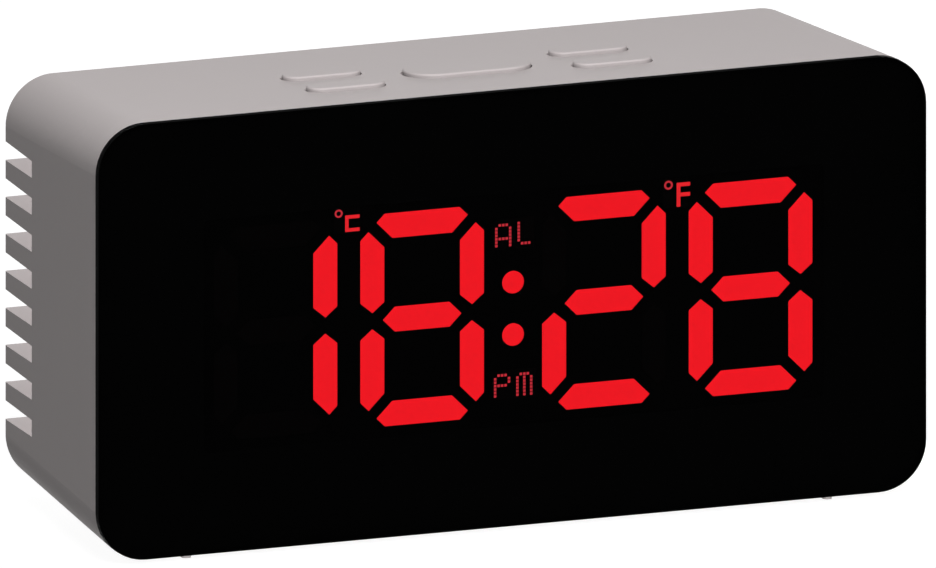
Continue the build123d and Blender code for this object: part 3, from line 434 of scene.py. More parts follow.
# Finishes of the plain pieces: colour, grain per metre, tone drift, roughness and bump depth
plainFinishes = {
    "caseGrey": {
        "nodes": ["housing", "battery_door"],
        "color": (0.445, 0.4075, 0.4075),
        "grain": 3200.0,
        "mottle": 0.012,
        "rough": 0.62,
        "roughDrift": 0.06,
        "depth": 0.006 * mm,
        "shine": 0.3,
    },
    "chassisBlack": {
        "nodes": ["chassis"],
        "color": (0.012, 0.012, 0.013),
        "grain": 2600.0,
        "mottle": 0.1,
        "rough": 0.7,
        "depth": 0.006 * mm,
        "shine": 0.25,
    },
    "reflectorBlack": {
        "nodes": ["reflector"],
        "color": (0.0006, 0.0006, 0.0006),
        "grain": 3000.0,
        "mottle": 0.1,
        "rough": 0.85,
        "depth": 0.004 * mm,
        "shine": 0.02,
    },
    "foamBlack": {
        "nodes": ["lens_tape"],
        "color": (0.015, 0.015, 0.015),
        "grain": 5000.0,
        "mottle": 0.3,
        "rough": 0.95,
        "depth": 0.04 * mm,
        "shine": 0.1,
    },
    "resinDark": {
        "nodes": ["dark_segments", "indicator_windows"],
        "color": (0.0016, 0.001, 0.001),
        "grain": 1500.0,
        "mottle": 0.1,
        "rough": 0.6,
        "depth": 0.002 * mm,
        "shine": 0.02,
    },
    "ledWhite": {
        "nodes": ["led_chips"],
        "color": (0.78, 0.74, 0.6),
        "grain": 6000.0,
        "cloud": 900.0,
        "mottle": 0.12,
        "rough": 0.35,
        "depth": 0.003 * mm,
    },
    "thermistorBlack": {
        "nodes": ["thermistor"],
        "color": (0.02, 0.02, 0.022),
        "grain": 2500.0,
        "mottle": 0.2,
        "rough": 0.25,
        "depth": 0.003 * mm,
    },
    "switchBlack": {
        "nodes": ["snooze_switch", "set_switch", "alarm_switch", "up_switch", "down_switch"],
        "color": (0.02, 0.02, 0.021),
        "grain": 3500.0,
        "mottle": 0.1,
        "rough": 0.45,
        "depth": 0.004 * mm,
    },
    "plungerWhite": {
        "nodes": ["snooze_plunger", "set_plunger", "alarm_plunger", "up_plunger", "down_plunger"],
        "color": (0.68, 0.67, 0.64),
        "grain": 3500.0,
        "mottle": 0.03,
        "rough": 0.4,
        "depth": 0.003 * mm,
    },
    "sounderBlack": {
        "nodes": ["sounder"],
        "color": (0.016, 0.016, 0.017),
        "grain": 2800.0,
        "mottle": 0.15,
        "rough": 0.5,
        "depth": 0.006 * mm,
    },
    "sheathRed": {
        "nodes": ["battery_lead_red"],
        "color": (0.5, 0.016, 0.014),
        "grain": 1800.0,
        "mottle": 0.06,
        "rough": 0.4,
        "depth": 0.004 * mm,
    },
    "sheathBlack": {
        "nodes": ["battery_lead_black", "inlet_lead", "sounder_lead"],
        "color": (0.018, 0.018, 0.018),
        "grain": 1800.0,
        "mottle": 0.12,
        "rough": 0.42,
        "depth": 0.004 * mm,
    },
}

# Bare metal pieces, with lines drawn along X
metalFinishes = {
    "canSteel": {
        "nodes": ["crystal"],
        "color": (0.62, 0.62, 0.63),
        "grain": 9000.0,
        "mottle": 0.05,
        "rough": 0.28,
        "roughDrift": 0.08,
        "depth": 0.002 * mm,
        "metallic": 1.0,
    },
    "contactNickel": {
        "nodes": ["positive_contact", "negative_contact", "link_contact_1", "link_contact_2"],
        "color": (0.66, 0.64, 0.58),
        "grain": 7000.0,
        "mottle": 0.08,
        "rough": 0.24,
        "roughDrift": 0.08,
        "depth": 0.002 * mm,
        "metallic": 1.0,
    },
    "springNickel": {
        "color": (0.68, 0.66, 0.6),
        "grain": 9000.0,
        "mottle": 0.06,
        "rough": 0.2,
        "depth": 0.001 * mm,
        "metallic": 1.0,
    },
    "screwSteel": {
        "color": (0.56, 0.56, 0.55),
        "grain": 8000.0,
        "mottle": 0.1,
        "rough": 0.32,
        "roughDrift": 0.1,
        "depth": 0.002 * mm,
        "metallic": 1.0,
    },
}


def paintNodes(material, names):
    for name in names:
        for holder in nodes[name].material_slots:
            holder.material = material


materials = {}
for finishes, group in ((plainFinishes, mouldedSkin), (metalFinishes, rolledMetal)):
    for name, look in finishes.items():
        materials[name] = makeSkin(name, look, group)
        paintNodes(materials[name], look.get("nodes", ()))
print("plain and metal finishes made")

# Keys: moulded like the case, with painted shade: a darker colour at the foot of each key, below its
# top
keyLook = {
    "color": (0.436, 0.398, 0.398),
    # colour of the painted shade at the foot of each key
    "paintedShadeColor": (0.365, 0.333, 0.333),
    "grain": 4200.0,
    "mottle": 0.01,
    "rough": 0.58,
    "depth": 0.003 * mm,
    "shine": 0.3,
    "paintedShadeFrom": 0.4 * mm,  # below a key's top
    "paintedShadeFade": 0.18 * mm,
}


def makeKeys():
    material, tree, shader, vector = startMaterial("keyGrey")
    skin = placeGroup(tree, mouldedSkin, vector, keyLook)
    # foot: the darker copy of the key's skin, painted shade at the foot of each key
    foot = placeGroup(tree, mouldedSkin, vector, {**keyLook, "color": keyLook["paintedShadeColor"]})
    verts = [vert for name in keyNodes for vert in nodes[name].data.vertices]
    start = max(topFacing.dot(vert.co) for vert in verts) - keyLook["paintedShadeFrom"]
    end = start + keyLook["paintedShadeFade"]
    height = addNode(tree, "ShaderNodeVectorMath", {1: topFacing}, operation="DOT_PRODUCT")
    fade = addNode(tree, "ShaderNodeMapRange", {"From Min": start, "From Max": end})
    tree.links.new(vector, height.inputs[0])
    tree.links.new(height.outputs["Value"], fade.inputs["Value"])
    dressShader(tree, shader, skin, keyLook)
    colour = mixColors(tree, fade.outputs[0], foot.outputs["Color"], skin.outputs["Color"])
    tree.links.new(colour, shader.inputs["Base Color"])
    bumpFrom(tree, shader, skin.outputs["Height"], keyLook["depth"])
    paintNodes(material, keyNodes)


makeKeys()
print("keys finished")

# Front lens: smoked panel, so dark that only what glows behind it shows
lensLook = {
    "color": (0.0005, 0.0005, 0.0006),
    "grain": 900.0,
    "cloud": 30.0,
    "mottle": 0.2,
    "rough": 0.06,
    "roughDrift": 0.015,
    "depth": 0.0004 * mm,
    "shine": 0.012,
    "alpha": 0.25,
}
paintNodes(makeSkin("smokedLens", lensLook), ["front_lens"])

# Glow of the display, which the lens dims twice, once at each face
glowRelief = 0.001 * mm
glowLooks = {
    "segmentGlow": {
        "nodes": ["lit_segments", "colon_dots"],
        "color": (0.2, 0.006, 0.008),
        "glow": (1.0, 0.0095, 0.0175),
        "strength": 1.45,
        "drift": 0.025,
    },
    "unitGlow": {
        "color": (0.2, 0.01, 0.008),
        "glow": (1.0, 0.022, 0.032),
        "strength": 1.24,
        "drift": 0.05,
    },
    "markGlow": {
        "color": (0.15, 0.01, 0.01),
        "glow": (1.0, 0.05, 0.075),
        "strength": 0.86,
        "drift": 0.12,
    },
}


def makeGlow(name, look):
    material, tree, shader, vector = startMaterial(name)
    lit = {"color": look["glow"], "grain": 900.0, "cloud": 260.0, "mottle": look["drift"]}
    bare = {"color": look["color"], "grain": 1500.0, "mottle": 0.1, "rough": 0.5, "shine": 0.1}
    shine = placeGroup(tree, mouldedSkin, vector, lit)
    skin = placeGroup(tree, mouldedSkin, vector, bare)
    dressShader(tree, shader, skin, bare)
    tree.links.new(shine.outputs["Color"], shader.inputs["Emission Color"])
    shader.inputs["Emission Strength"].default_value = look["strength"]
    bumpFrom(tree, shader, skin.outputs["Height"], glowRelief)
    return material


for name, look in glowLooks.items():
    materials[name] = makeGlow(name, look)
    paintNodes(materials[name], look.get("nodes", ()))
print("lens and display finishes made")

# Printed boards, each with its tracks laid in the plane of its face
boardLook = {
    "mask": (0.008, 0.075, 0.028),
    "track": (0.018, 0.15, 0.05),
    "pad": (0.72, 0.7, 0.66),
    "shine": 0.5,
    "depth": 0.03 * mm,
    "turns": {
        # node: turn that lays its face flat, run and pitch of its tracks in millimetres
        "display_board": ((pi / 2, 0, 0), 6.1, 1.27),
        "key_board": ((0, 0, 0), 8.3, 1.6),
        "inlet_board": ((0, 0, pi / 2), 4.4, 1.1),
    },
}


def makeBoard(node, turn, run, pitch):
    material, tree, shader, vector = startMaterial(node.split("_")[0] + "BoardGreen")
    flat = addNode(tree, "ShaderNodeMapping", {"Rotation": turn})
    tracks = addNode(tree, "ShaderNodeGroup", {"Run": run, "Pitch": pitch}, node_tree=printedTracks)
    for label, key in (("Mask Color", "mask"), ("Track Color", "track"), ("Pad Color", "pad")):
        tracks.inputs[label].default_value = (*boardLook[key], 1)
    tree.links.new(vector, flat.inputs["Vector"])
    tree.links.new(flat.outputs[0], tracks.inputs["Vector"])
    tree.links.new(tracks.outputs["Color"], shader.inputs["Base Color"])
    tree.links.new(tracks.outputs["Metal"], shader.inputs["Metallic"])
    tree.links.new(tracks.outputs["Roughness"], shader.inputs["Roughness"])
    shader.inputs["Specular IOR Level"].default_value = boardLook["shine"]
    bumpFrom(tree, shader, tracks.outputs["Height"], boardLook["depth"])
    paintNodes(material, [node])


for node, values in boardLook["turns"].items():
    makeBoard(node, *values)

# Bare metal and printed wraps that share a piece with moulded plastic
layerRelief = 0.002 * mm
partLooks = {
    # name: colour, grain, cloud, tone drift and roughness
    "mould": ((0.014, 0.014, 0.015), 4200.0, 400.0, 0.12, 0.55),
    "tin": ((0.66, 0.66, 0.64), 9000.0, 700.0, 0.06, 0.3),
    "shell": ((0.58, 0.58, 0.57), 8000.0, 300.0, 0.06, 0.27),
    "gold": ((0.86, 0.6, 0.24), 9000.0, 800.0, 0.05, 0.22),
    "sleeve": ((0.018, 0.018, 0.03), 1600.0, 300.0, 0.1, 0.3),
    "stripe": ((0.36, 0.37, 0.38), 1600.0, 300.0, 0.05, 0.34),
    "wrap": ((0.085, 0.13, 0.15), 1400.0, 120.0, 0.08, 0.26),
    "ring": ((0.56, 0.57, 0.55), 2600.0, 200.0, 0.05, 0.3),
}


def nearMask(tree, value, middle, reach):
    # 1 where the value lies less than reach from the middle, and 0 elsewhere
    return combine(tree, "LESS_THAN", farFrom(tree, value, middle), reach)


def farMask(tree, value, middle, reach):
    return combine(tree, "GREATER_THAN", farFrom(tree, value, middle), reach)


def bothMasks(tree, first, second):
    return combine(tree, "MULTIPLY", first, second)


def radiusRound(tree, vector, centre, keep):
    # Distance from an axis through centre, which runs along the coordinate that keep leaves out
    flat = addNode(tree, "ShaderNodeVectorMath", {1: keep}, operation="MULTIPLY")
    away = addNode(tree, "ShaderNodeVectorMath", operation="DISTANCE")
    away.inputs[1].default_value = [a * b for a, b in zip(centre, keep)]
    tree.links.new(vector, flat.inputs[0])
    tree.links.new(flat.outputs[0], away.inputs[0])
    return away.outputs["Value"]


def placeLayer(tree, vector, kind, isMetal):
    look = dict(zip(("color", "grain", "cloud", "mottle", "rough"), partLooks[kind]))
    return placeGroup(tree, rolledMetal if isMetal else mouldedSkin, vector, look).outputs


def makeLayered(name, layers, masksOf):
    # The first layer, with each later one over it where its mask is 1
    # layers: name of a look, and whether it is metal
    material, tree, shader, vector = startMaterial(name)
    masks = masksOf(tree, vector, separate(tree, vector))
    base = placeLayer(tree, vector, *layers[0])
    colour, rough, metal = base["Color"], base["Roughness"], float(layers[0][1])
    for (kind, isMetal), mask in zip(layers[1:], masks):
        layer = placeLayer(tree, vector, kind, isMetal)
        colour = mixColors(tree, mask, colour, layer["Color"])
        mixed = addNode(tree, "ShaderNodeMix")
        tree.links.new(mask, mixed.inputs["Factor"])
        tree.links.new(rough, mixed.inputs[2])
        tree.links.new(layer["Roughness"], mixed.inputs[3])
        rough = mixed.outputs[0]
        if isMetal:
            metal = combine(tree, "MAXIMUM", metal, mask)
        else:
            metal = combine(tree, "MULTIPLY", metal, combine(tree, "SUBTRACT", 1.0, mask))
    tree.links.new(colour, shader.inputs["Base Color"])
    tree.links.new(rough, shader.inputs["Roughness"])
    tree.links.new(metal, shader.inputs["Metallic"])
    bumpFrom(tree, shader, base["Height"], layerRelief)
    return material


chipLook = {"leadsFrom": 3.76 * mm}  # up or down from the middle of the chip
capacitorLook = {
    "stripeHalfWidth": 0.85 * mm,
    "topDepth": 0.3 * mm,
    "topRadius": 2.45 * mm,
}
inletLook = {
    "tongueHalfWidth": 3.2 * mm,
    "tongueHalfHeight": 0.85 * mm,
    "stripPitch": 0.65 * mm,  # of the gold strips on the tongue
    "stripHalfWidth": 0.16 * mm,
    "stripsHalfWidth": 1.6 * mm,
    "stripsFrom": 0.27 * mm,  # up or down from the middle of the tongue
}
cellLook = {
    "nub": 0.8 * mm,  # stands on the positive end
    "ringWidth": 4 * mm,
    "ringPast": 2 * mm,  # past the end, so that the end is covered too
    "ringSoft": 0.05 * mm,
    "endDepth": 0.3 * mm,
    "endRadius": 4.55 * mm,
    # node: way that its positive end points along X
    "cells": {"cell_1": 1, "cell_2": -1, "cell_3": 1},
}


def chipMasks(tree, vector, axes):
    low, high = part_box("controller_chip")
    return [farMask(tree, axes["Z"], (low.z + high.z) / 2, chipLook["leadsFrom"])]


def capacitorMasks(tree, vector, axes):
    low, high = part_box("capacitor")
    middle = (low + high) / 2
    around = radiusRound(tree, vector, middle, (1, 0, 1))
    beside = nearMask(tree, axes["X"], middle.x, capacitorLook["stripeHalfWidth"])
    stripe = bothMasks(tree, beside, combine(tree, "GREATER_THAN", axes["Z"], middle.z))
    top = combine(tree, "GREATER_THAN", axes["Y"], high.y - capacitorLook["topDepth"])
    bare = bothMasks(tree, top, combine(tree, "LESS_THAN", around, capacitorLook["topRadius"]))
    return [stripe, bare]


def inletMasks(tree, vector, axes):
    low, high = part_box("inlet_socket")
    middle = (low + high) / 2
    width = nearMask(tree, axes["X"], middle.x, inletLook["tongueHalfWidth"])
    tongue = bothMasks(tree, width, nearMask(tree, axes["Z"], middle.z, inletLook["tongueHalfHeight"]))
    halfPitch = inletLook["stripPitch"] / 2
    across = combine(tree, "SUBTRACT", axes["X"], middle.x - halfPitch)
    step = combine(tree, "PINGPONG", across, halfPitch)
    strips = bothMasks(tree, combine(tree, "LESS_THAN", step, inletLook["stripHalfWidth"]), tongue)
    near = nearMask(tree, axes["X"], middle.x, inletLook["stripsHalfWidth"])
    face = farMask(tree, axes["Z"], middle.z, inletLook["stripsFrom"])
    return [tongue, bothMasks(tree, strips, bothMasks(tree, near, face))]


def cellMasksOf(name, sign):
    low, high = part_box(name)
    middle = (low + high) / 2
    start, end = sorted((low.x * sign, high.x * sign))
    end -= cellLook["nub"]

    def cellMasks(tree, vector, axes):
        along = combine(tree, "MULTIPLY", axes["X"], sign)
        around = radiusRound(tree, vector, middle, (0, 1, 1))
        edges = (end - cellLook["ringWidth"], end + cellLook["ringPast"], cellLook["ringSoft"])
        ring = maskBetween(tree, along, *edges)
        past = farMask(tree, along, (start + end) / 2, (end - start) / 2 - cellLook["endDepth"])
        steel = bothMasks(tree, past, combine(tree, "LESS_THAN", around, cellLook["endRadius"]))
        return [ring, steel]

    return cellMasks


chipLayers = [("mould", False), ("tin", True)]
paintNodes(makeLayered("chipMould", chipLayers, chipMasks), ["controller_chip"])
inletLayers = [("shell", True), ("mould", False), ("gold", True)]
paintNodes(makeLayered("inletShell", inletLayers, inletMasks), ["inlet_socket"])
capacitorLayers = [("sleeve", False), ("stripe", False), ("shell", True)]
paintNodes(makeLayered("capacitorSleeve", capacitorLayers, capacitorMasks), ["capacitor"])
cellLayers = [("wrap", False), ("ring", False), ("shell", True)]
for name, sign in cellLook["cells"].items():
    paintNodes(makeLayered(name + "Wrap", cellLayers, cellMasksOf(name, sign)), [name])
print("boards, chip, capacitor, inlet and cells finished")

# Key ribbon: flat cable of round wires side by side, the first one marked red, with painted shade in
# the grooves between wires
ribbonLook = {
    "color": (0.33, 0.33, 0.34),
    # the darker colour in the grooves is painted shade
    "grooveShade": (0.16, 0.16, 0.17),
    "first": (0.5, 0.03, 0.025),
    "wirePitch": 1.0 * mm,
    "grooveShare": 0.12,  # of the pitch, on each side of a groove
    "depth": 0.25 * mm,
    "rough": 0.42,
    "shine": 0.4,
}


def makeRibbon():
    material, tree, shader, vector = startMaterial("ribbonGrey")
    skin = placeGroup(tree, mouldedSkin, vector, ribbonLook)
    looks = [{**ribbonLook, "color": ribbonLook[part]} for part in ("grooveShade", "first")]
    grooveShade, first = (placeGroup(tree, mouldedSkin, vector, look).outputs["Color"] for look in looks)
    pitch = ribbonLook["wirePitch"]
    across = combine(tree, "SUBTRACT", separate(tree, vector)["X"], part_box("key_ribbon")[0].x)
    height = combine(tree, "PINGPONG", across, pitch / 2)
    # between: where the grooves lie, which get the painted shade
    between = combine(tree, "LESS_THAN", height, pitch * ribbonLook["grooveShare"])
    red = combine(tree, "LESS_THAN", across, pitch)
    dressShader(tree, shader, skin, ribbonLook)
    colour = mixColors(tree, red, skin.outputs["Color"], first)
    tree.links.new(mixColors(tree, between, colour, grooveShade), shader.inputs["Base Color"])
    crown = combine(tree, "SQRT", combine(tree, "DIVIDE", height, pitch), 0.0)
    bumpFrom(tree, shader, crown, ribbonLook["depth"])
    paintNodes(material, ["key_ribbon"])


makeRibbon()
print("ribbon finished")

toFront = Matrix.Rotation(pi / 2, 3, "X")  # what lay flat then faces the front


def finishPiece(name, bm, material, body):
    mesh = bpy.data.meshes.new(name)
    bm.to_mesh(mesh)
    bm.free()
    mesh.materials.append(material)
    piece = bpy.data.objects.new(name, mesh)
    scene.collection.objects.link(piece)
    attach(piece, body)
    return piece


# Black border printed on the back of the lens and painted round its edge
borderLook = {
    "color": (0.0005, 0.0005, 0.0005),
    "grain": 3000.0,
    "mottle": 0.1,
    "rough": 0.85,
    "depth": 0.004 * mm,
    "shine": 0.02,
    "paint": 0.006 * mm,  # how far the paint stands off the lens's edge
    "inside": 0.03 * mm,
    "cornerRadius": 8 * mm,  # of the lens
    "cornerSteps": 10,
    "windowMargin": 0.6 * mm,
    "windowRadius": 1.0 * mm,
    "thickness": 0.01 * mm,
}


def roundedLoop(bm, halfWidth, halfHeight, radius, centre, depth):
    # A loop of edges round a rounded rectangle that faces the front, at this depth
    cornerVerts = bmesh.ops.create_grid(bm, x_segments=1, y_segments=1, size=1.0)["verts"]
    bmesh.ops.scale(bm, vec=(halfWidth, halfHeight, 1), verts=cornerVerts)
    bmesh.ops.rotate(bm, cent=(0, 0, 0), matrix=toFront, verts=cornerVerts)
    bmesh.ops.translate(bm, vec=(centre.x, depth, centre.z), verts=cornerVerts)
    bmesh.ops.bevel(
        bm,
        geom=cornerVerts,
        offset=radius,
        offset_type="OFFSET",
        segments=borderLook["cornerSteps"],
        profile=0.5,
        affect="VERTICES",
        material=-1,
    )


def makeLensBorder():
    bm = bmesh.new()
    halfWidth = lensHigh.x + borderLook["paint"]
    halfHeight = (lensHigh.z - lensLow.z) / 2 + borderLook["paint"]
    radius = borderLook["cornerRadius"] + borderLook["paint"]
    windowWidth = (blockHigh.x - blockLow.x) / 2 - borderLook["windowMargin"]
    windowHeight = (blockHigh.z - blockLow.z) / 2 - borderLook["windowMargin"]
    front, back = lensLow.y + borderLook["inside"], lensHigh.y - borderLook["inside"]
    loops = []
    for sizes in (
        (halfWidth, halfHeight, radius, lensMiddle, front),
        (halfWidth, halfHeight, radius, lensMiddle, back),
        (windowWidth, windowHeight, borderLook["windowRadius"], displayMiddle, back),
    ):
        before = set(bm.edges)
        roundedLoop(bm, *sizes)
        loops.append([edge for edge in bm.edges if edge not in before])
    bmesh.ops.delete(bm, geom=bm.faces[:], context="FACES_ONLY")
    bmesh.ops.bridge_loops(bm, edges=loops[0] + loops[1])
    bmesh.ops.bridge_loops(bm, edges=loops[1] + loops[2])
    bmesh.ops.recalc_face_normals(bm, faces=bm.faces[:])
    bmesh.ops.solidify(bm, geom=bm.faces[:], thickness=borderLook["thickness"])
    finishPiece("lensBorder", bm, makeSkin("lensBorder", borderLook), "case")


makeLensBorder()
print("lens border made")

# Contact springs: conical coils with a closed turn at each end, wound from the plate towards the cell
springLook = {
    "footRadius": 3.15 * mm,  # to the middle of the wire
    "tipRadius": 1.95 * mm,
    "wire": 0.25 * mm,  # half its thickness
    "wireRoundness": 3,
    "openTurns": 3,
    "stepsPerTurn": 28,
    # node: way that its tip points along X
    "springs": {"contact_spring_1": 1, "contact_spring_2": -1, "contact_spring_3": 1},
}


def meshFromCurve(curve, name):
    holder = bpy.data.objects.new(name + "Path", curve)
    scene.collection.objects.link(holder)
    bpy.context.view_layer.update()
    whole = holder.evaluated_get(bpy.context.evaluated_depsgraph_get())
    mesh = bpy.data.meshes.new_from_object(whole)
    bpy.data.objects.remove(holder)
    return mesh


def windPath(length):
    # The middle line of a spring's wire, along X from its foot to its tip
    steps = springLook["stepsPerTurn"]
    closed = 2 * springLook["wire"]  # the climb of a closed turn
    rise = (length - 2 * closed) / springLook["openTurns"]
    path = bmesh.new()
    tip = path.verts.new((0, springLook["footRadius"], 0))
    for turns, climb in ((1, closed), (springLook["openTurns"], rise), (1, closed)):
        made = bmesh.ops.spin(
            path,
            geom=[tip],
            cent=(0, 0, 0),
            axis=(1, 0, 0),
            dvec=(climb / steps, 0, 0),
            angle=2 * pi * turns,
            steps=steps * turns,
            use_merge=False,
        )
        tip = made["geom_last"][0]
    reach = tip.co.x
    for vert in path.verts:
        share = vert.co.x / reach
        narrow = 1 - share * (1 - springLook["tipRadius"] / springLook["footRadius"])
        vert.co.y *= narrow
        vert.co.z *= narrow
        vert.co.x *= length / reach
    return path


def makeSpring(node, way):
    low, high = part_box(node)
    wire = springLook["wire"]
    path = windPath(high.x - low.x - 2 * wire)
    curve = bpy.data.curves.new(node, "CURVE")
    curve.dimensions = "3D"
    curve.bevel_depth = wire
    curve.bevel_resolution = springLook["wireRoundness"]
    curve.use_fill_caps = True
    line = curve.splines.new("POLY")
    line.points.add(len(path.verts) - 1)
    for point, vert in zip(line.points, path.verts):
        point.co = (*vert.co, 1)
    path.free()
    mesh = meshFromCurve(curve, node)
    foot = (low + high) / 2
    foot.x = (low.x if way > 0 else high.x) + way * wire
    bm = bmesh.new()
    bm.from_mesh(mesh)
    if way < 0:
        bmesh.ops.rotate(bm, cent=(0, 0, 0), matrix=Matrix.Rotation(pi, 3, "Z"), verts=bm.verts[:])
    bmesh.ops.translate(bm, vec=foot, verts=bm.verts[:])
    for face in bm.faces:
        face.smooth = True
    piece = finishPiece("coil" + node[-1], bm, materials["springNickel"], "case")
    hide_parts(node)


for node, way in springLook["springs"].items():
    makeSpring(node, way)
print("contact springs wound")

# Screws: a threaded shank under a head with a cross recess
screwLook = {
    "headRadius": 1.9 * mm,
    "shankRadius": 1.0 * mm,
    "threadRoot": 0.76 * mm,
    "threadPitch": 0.72 * mm,
    "threadFloor": (0.3, 0.55),  # where the groove's floor starts and ends, in pitches below a crest
    "pointLength": 1.2 * mm,
    "pointShare": 0.35,  # its end radius as a share of the thread's root
    "recessDepth": 0.75 * mm,
    "recessRadius": 0.95 * mm,
    "recessRing": 0.36,  # of an extra ring of points, as a share of that radius
    "recessCentre": 0.3,  # reach of the middle of the cross, as a share too
    "recessTaper": 0.6,
    "armHalfAngle": 15,  # of each arm of the cross, in degrees
    "steps": 32,
    "firstTurn": 24,  # of the first screw in a set, in degrees, and from each to the next
    "nextTurn": 37,
    "kinds": {
        # kind: radius and height of each ring of the head, from the top down
        "flat": ((1.78, 0), (1.9, -0.12), (1.9, -0.22), (1.0, -1.3)),
        "pan": ((1.2, 0), (1.62, -0.14), (1.86, -0.5), (1.9, -0.9), (1.9, -1.3), (1.0, -1.3)),
    },
    # node: length of its screws
    "lengths": {"chassis_screws": 9 * mm, "display_screws": 7.3 * mm, "key_board_screws": 6.3 * mm},
}
hair = 0.001 * mm  # under this distance two points are one


def makeScrewShape(kind, length):
    # One screw whose head's top is at the origin, with the shank down along Z
    bm = bmesh.new()
    look, recess, root = screwLook, screwLook["recessRadius"], screwLook["threadRoot"]
    rings = [(0, 0), (recess * look["recessRing"], 0), (recess, 0)]
    rings += [(radius * mm, z * mm) for radius, z in look["kinds"][kind]]
    level, last, pitch = rings[-1][1], -length + look["pointLength"], look["threadPitch"]
    while level - pitch > last:
        rings += [(root, level - pitch * share) for share in look["threadFloor"]]
        level -= pitch
        rings.append((look["shankRadius"], level))
    rings += [(root, last), (root * look["pointShare"], -length), (0, -length)]
    chain = [bm.verts.new((radius, 0, z)) for radius, z in rings]
    edges = [bm.edges.new(pair) for pair in zip(chain, chain[1:])]
    bmesh.ops.spin(
        bm,
        geom=chain + edges,
        cent=(0, 0, 0),
        axis=(0, 0, 1),
        angle=2 * pi,
        steps=look["steps"],
        use_merge=True,
    )
    bmesh.ops.remove_doubles(bm, verts=bm.verts[:], dist=hair)
    bmesh.ops.recalc_face_normals(bm, faces=bm.faces[:])
    arms = []
    for face in bm.faces:
        middle = face.calc_center_median()
        away = middle.to_2d().length
        turn = (degrees(atan2(middle.y, middle.x)) + 45) % 90 - 45  # from the nearest arm
        if middle.z > -hair and away < recess:
            if abs(turn) < look["armHalfAngle"] or away < recess * look["recessCentre"]:
                arms.append(face)
    sunk = bmesh.ops.extrude_face_region(bm, geom=arms)
    floor = [item for item in sunk["geom"] if isinstance(item, bmesh.types.BMVert)]
    bmesh.ops.delete(bm, geom=arms, context="FACES")
    bmesh.ops.translate(bm, vec=(0, 0, -look["recessDepth"]), verts=floor)
    bmesh.ops.scale(bm, vec=(look["recessTaper"], look["recessTaper"], 1), verts=floor)
    bmesh.ops.recalc_face_normals(bm, faces=bm.faces[:])
    mesh = bpy.data.meshes.new(kind + "Screw")
    bm.to_mesh(mesh)
    bm.free()
    return mesh


def makeScrews(name, node, kind, heads, up):
    # up: the way that the heads face; heads: middles of their tops
    bm = bmesh.new()
    shape = makeScrewShape(kind, screwLook["lengths"][node])
    turn = Vector((0, 0, 1)).rotation_difference(Vector(up)).to_matrix()
    for place, head in enumerate(heads):
        before = set(bm.verts)
        bm.from_mesh(shape)
        new = [vert for vert in bm.verts if vert not in before]
        spun = Matrix.Rotation(radians(screwLook["firstTurn"] + screwLook["nextTurn"] * place), 3, "Z")
        bmesh.ops.rotate(bm, cent=(0, 0, 0), matrix=spun, verts=new)
        bmesh.ops.rotate(bm, cent=(0, 0, 0), matrix=turn, verts=new)
        bmesh.ops.translate(bm, vec=head, verts=new)
    piece = finishPiece(name, bm, materials["screwSteel"], "case")
    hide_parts(node)


def makeAllScrews():
    inset = screwLook["headRadius"]
    for name, node, kind, way in (
        ("chassisScrewSet", "chassis_screws", "flat", -1),
        ("displayScrewSet", "display_screws", "pan", 1),
    ):
        low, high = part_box(node)
        depth = high.y if way > 0 else low.y
        columns, rows = (low.x + inset, high.x - inset), (low.z + inset, high.z - inset)
        makeScrews(name, node, kind, [(x, depth, z) for x in columns for z in rows], (0, way, 0))
    low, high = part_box("key_board_screws")
    y, z = high.y - inset * topFacing.z, high.z - inset * topFacing.y
    heads = [(x, y, z) for x in (low.x + inset, high.x - inset)]
    makeScrews("keyBoardScrewSet", "key_board_screws", "pan", heads, topFacing)


makeAllScrews()
print("screws made")

# Marks in the indicator windows: degree rings with block letters, and small dotted letters
markLook = {
    "ahead": 0.03 * mm,  # in front of the windows' faces
    "thickness": 0.02 * mm,
    "dotPitchAcross": 0.585 * mm,
    "dotPitchUp": 0.552 * mm,
    "dotSize": 0.41 * mm,
    "ringSteps": 32,
    "ringShare": 0.5,  # the ring's thickness as a share of its letter's bars
    # from the lens's front face to the windows' faces, along the photograph's line of sight
    "shiftAcross": 0.62 * mm,
    "shiftUp": -0.42 * mm,
}
dottedLetters = {
    # letter: its left and lower edges on the lens, in millimetres, and its rows of dots
    "markA": (-2.94, 10.15, (" ### ", "#   #", "#   #", "#   #", "#####", "#   #", "#   #")),
    "markL": (0.85, 10.25, ("#   ", "#   ", "#   ", "#   ", "#   ", "#   ", " ###")),
    "markP": (-3.14, -14.2, (" ### ", "#   #", "#   #", "#### ", "#    ", "#    ", "#    ")),
    "markM": (0.62, -14.25, (" ### ", "# # #", "# # #", "# # #", "# # #", "# # #", "# # #")),
}
unitMarks = {
    # ring: its middle and outer radius; box: left, right, lower and upper edge of the letter
    # stroke: how thick the letter's bars are; all on the lens, in millimetres
    "celsius": {"ring": (-29.4, 17.96, 0.67), "box": (-28.3, -25.87, 14.88, 17.56), "stroke": 0.57},
    "fahrenheit": {"ring": (26.39, 17.68, 0.73), "box": (27.77, 30.04, 14.04, 17.93), "stroke": 0.63},
}


def addSlab(bm, left, right, low, high, depth):
    # A thin bar that faces the front
    made = bmesh.ops.create_cube(bm, size=1.0)
    size = (right - left, markLook["thickness"], high - low)
    bmesh.ops.scale(bm, vec=size, verts=made["verts"])
    bmesh.ops.translate(bm, vec=((left + right) / 2, depth, (low + high) / 2), verts=made["verts"])


def onWindow(x, z):
    return x * mm + markLook["shiftAcross"], lensMiddle.z + z * mm + markLook["shiftUp"]


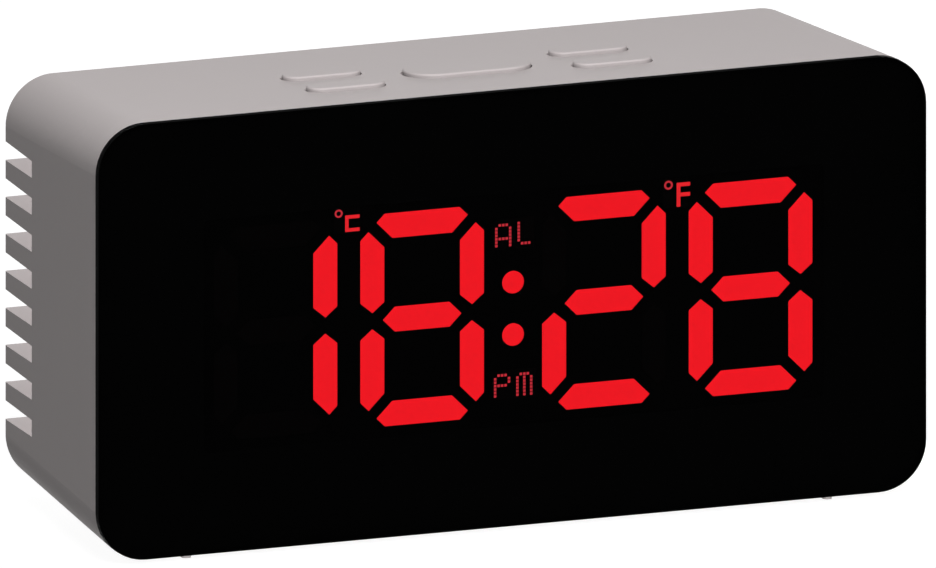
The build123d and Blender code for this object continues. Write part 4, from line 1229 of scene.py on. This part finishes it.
def addRing(bm, mark, depth):
    ringX, ringZ = onWindow(*mark["ring"][:2])
    outer = mark["ring"][2] * mm
    inner = outer - mark["stroke"] * mm * markLook["ringShare"]
    bmesh.ops.create_circle(bm, segments=markLook["ringSteps"], radius=inner)
    grown = bmesh.ops.extrude_edge_only(bm, edges=bm.edges[:])
    rim = [item for item in grown["geom"] if isinstance(item, bmesh.types.BMVert)]
    bmesh.ops.scale(bm, vec=(outer / inner, outer / inner, 1), verts=rim)
    bmesh.ops.rotate(bm, cent=(0, 0, 0), matrix=toFront, verts=bm.verts[:])
    bmesh.ops.translate(bm, vec=(ringX, depth, ringZ), verts=bm.verts[:])
    bmesh.ops.recalc_face_normals(bm, faces=bm.faces[:])
    bmesh.ops.solidify(bm, geom=bm.faces[:], thickness=markLook["thickness"])
    for face in bm.faces:
        face.material_index = 1  # dimmer than the letter


def makeDottedLetter(name, left, low, rows, depth):
    bm = bmesh.new()
    dot = markLook["dotSize"]
    x0, z0 = onWindow(left, low)
    for level, row in enumerate(reversed(rows)):
        for place, mark in enumerate(row):
            if mark == "#":
                x = x0 + place * markLook["dotPitchAcross"]
                z = z0 + level * markLook["dotPitchUp"]
                addSlab(bm, x, x + dot, z, z + dot, depth)
    finishPiece(name, bm, materials["markGlow"], "case")


def makeUnitMark(name, mark, depth):
    bm = bmesh.new()
    addRing(bm, mark, depth)
    stroke = mark["stroke"] * mm
    left, right, low, high = mark["box"]
    left, low = onWindow(left, low)
    right, high = onWindow(right, high)
    # The lower bar of a C, or the middle one of an F
    lower = low if name == "celsius" else (low + high - stroke) / 2
    addSlab(bm, left, left + stroke, low, high, depth)
    addSlab(bm, left + stroke, right, high - stroke, high, depth)
    addSlab(bm, left + stroke, right, lower, lower + stroke, depth)
    piece = finishPiece(name + "Mark", bm, materials["unitGlow"], "case")
    piece.data.materials.append(materials["markGlow"])


def makeMarks():
    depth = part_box("indicator_windows")[0].y - markLook["ahead"]
    for name, shape in dottedLetters.items():
        makeDottedLetter(name, *shape, depth)
    for name, mark in unitMarks.items():
        makeUnitMark(name, mark, depth)


makeMarks()
print("indicator marks made")
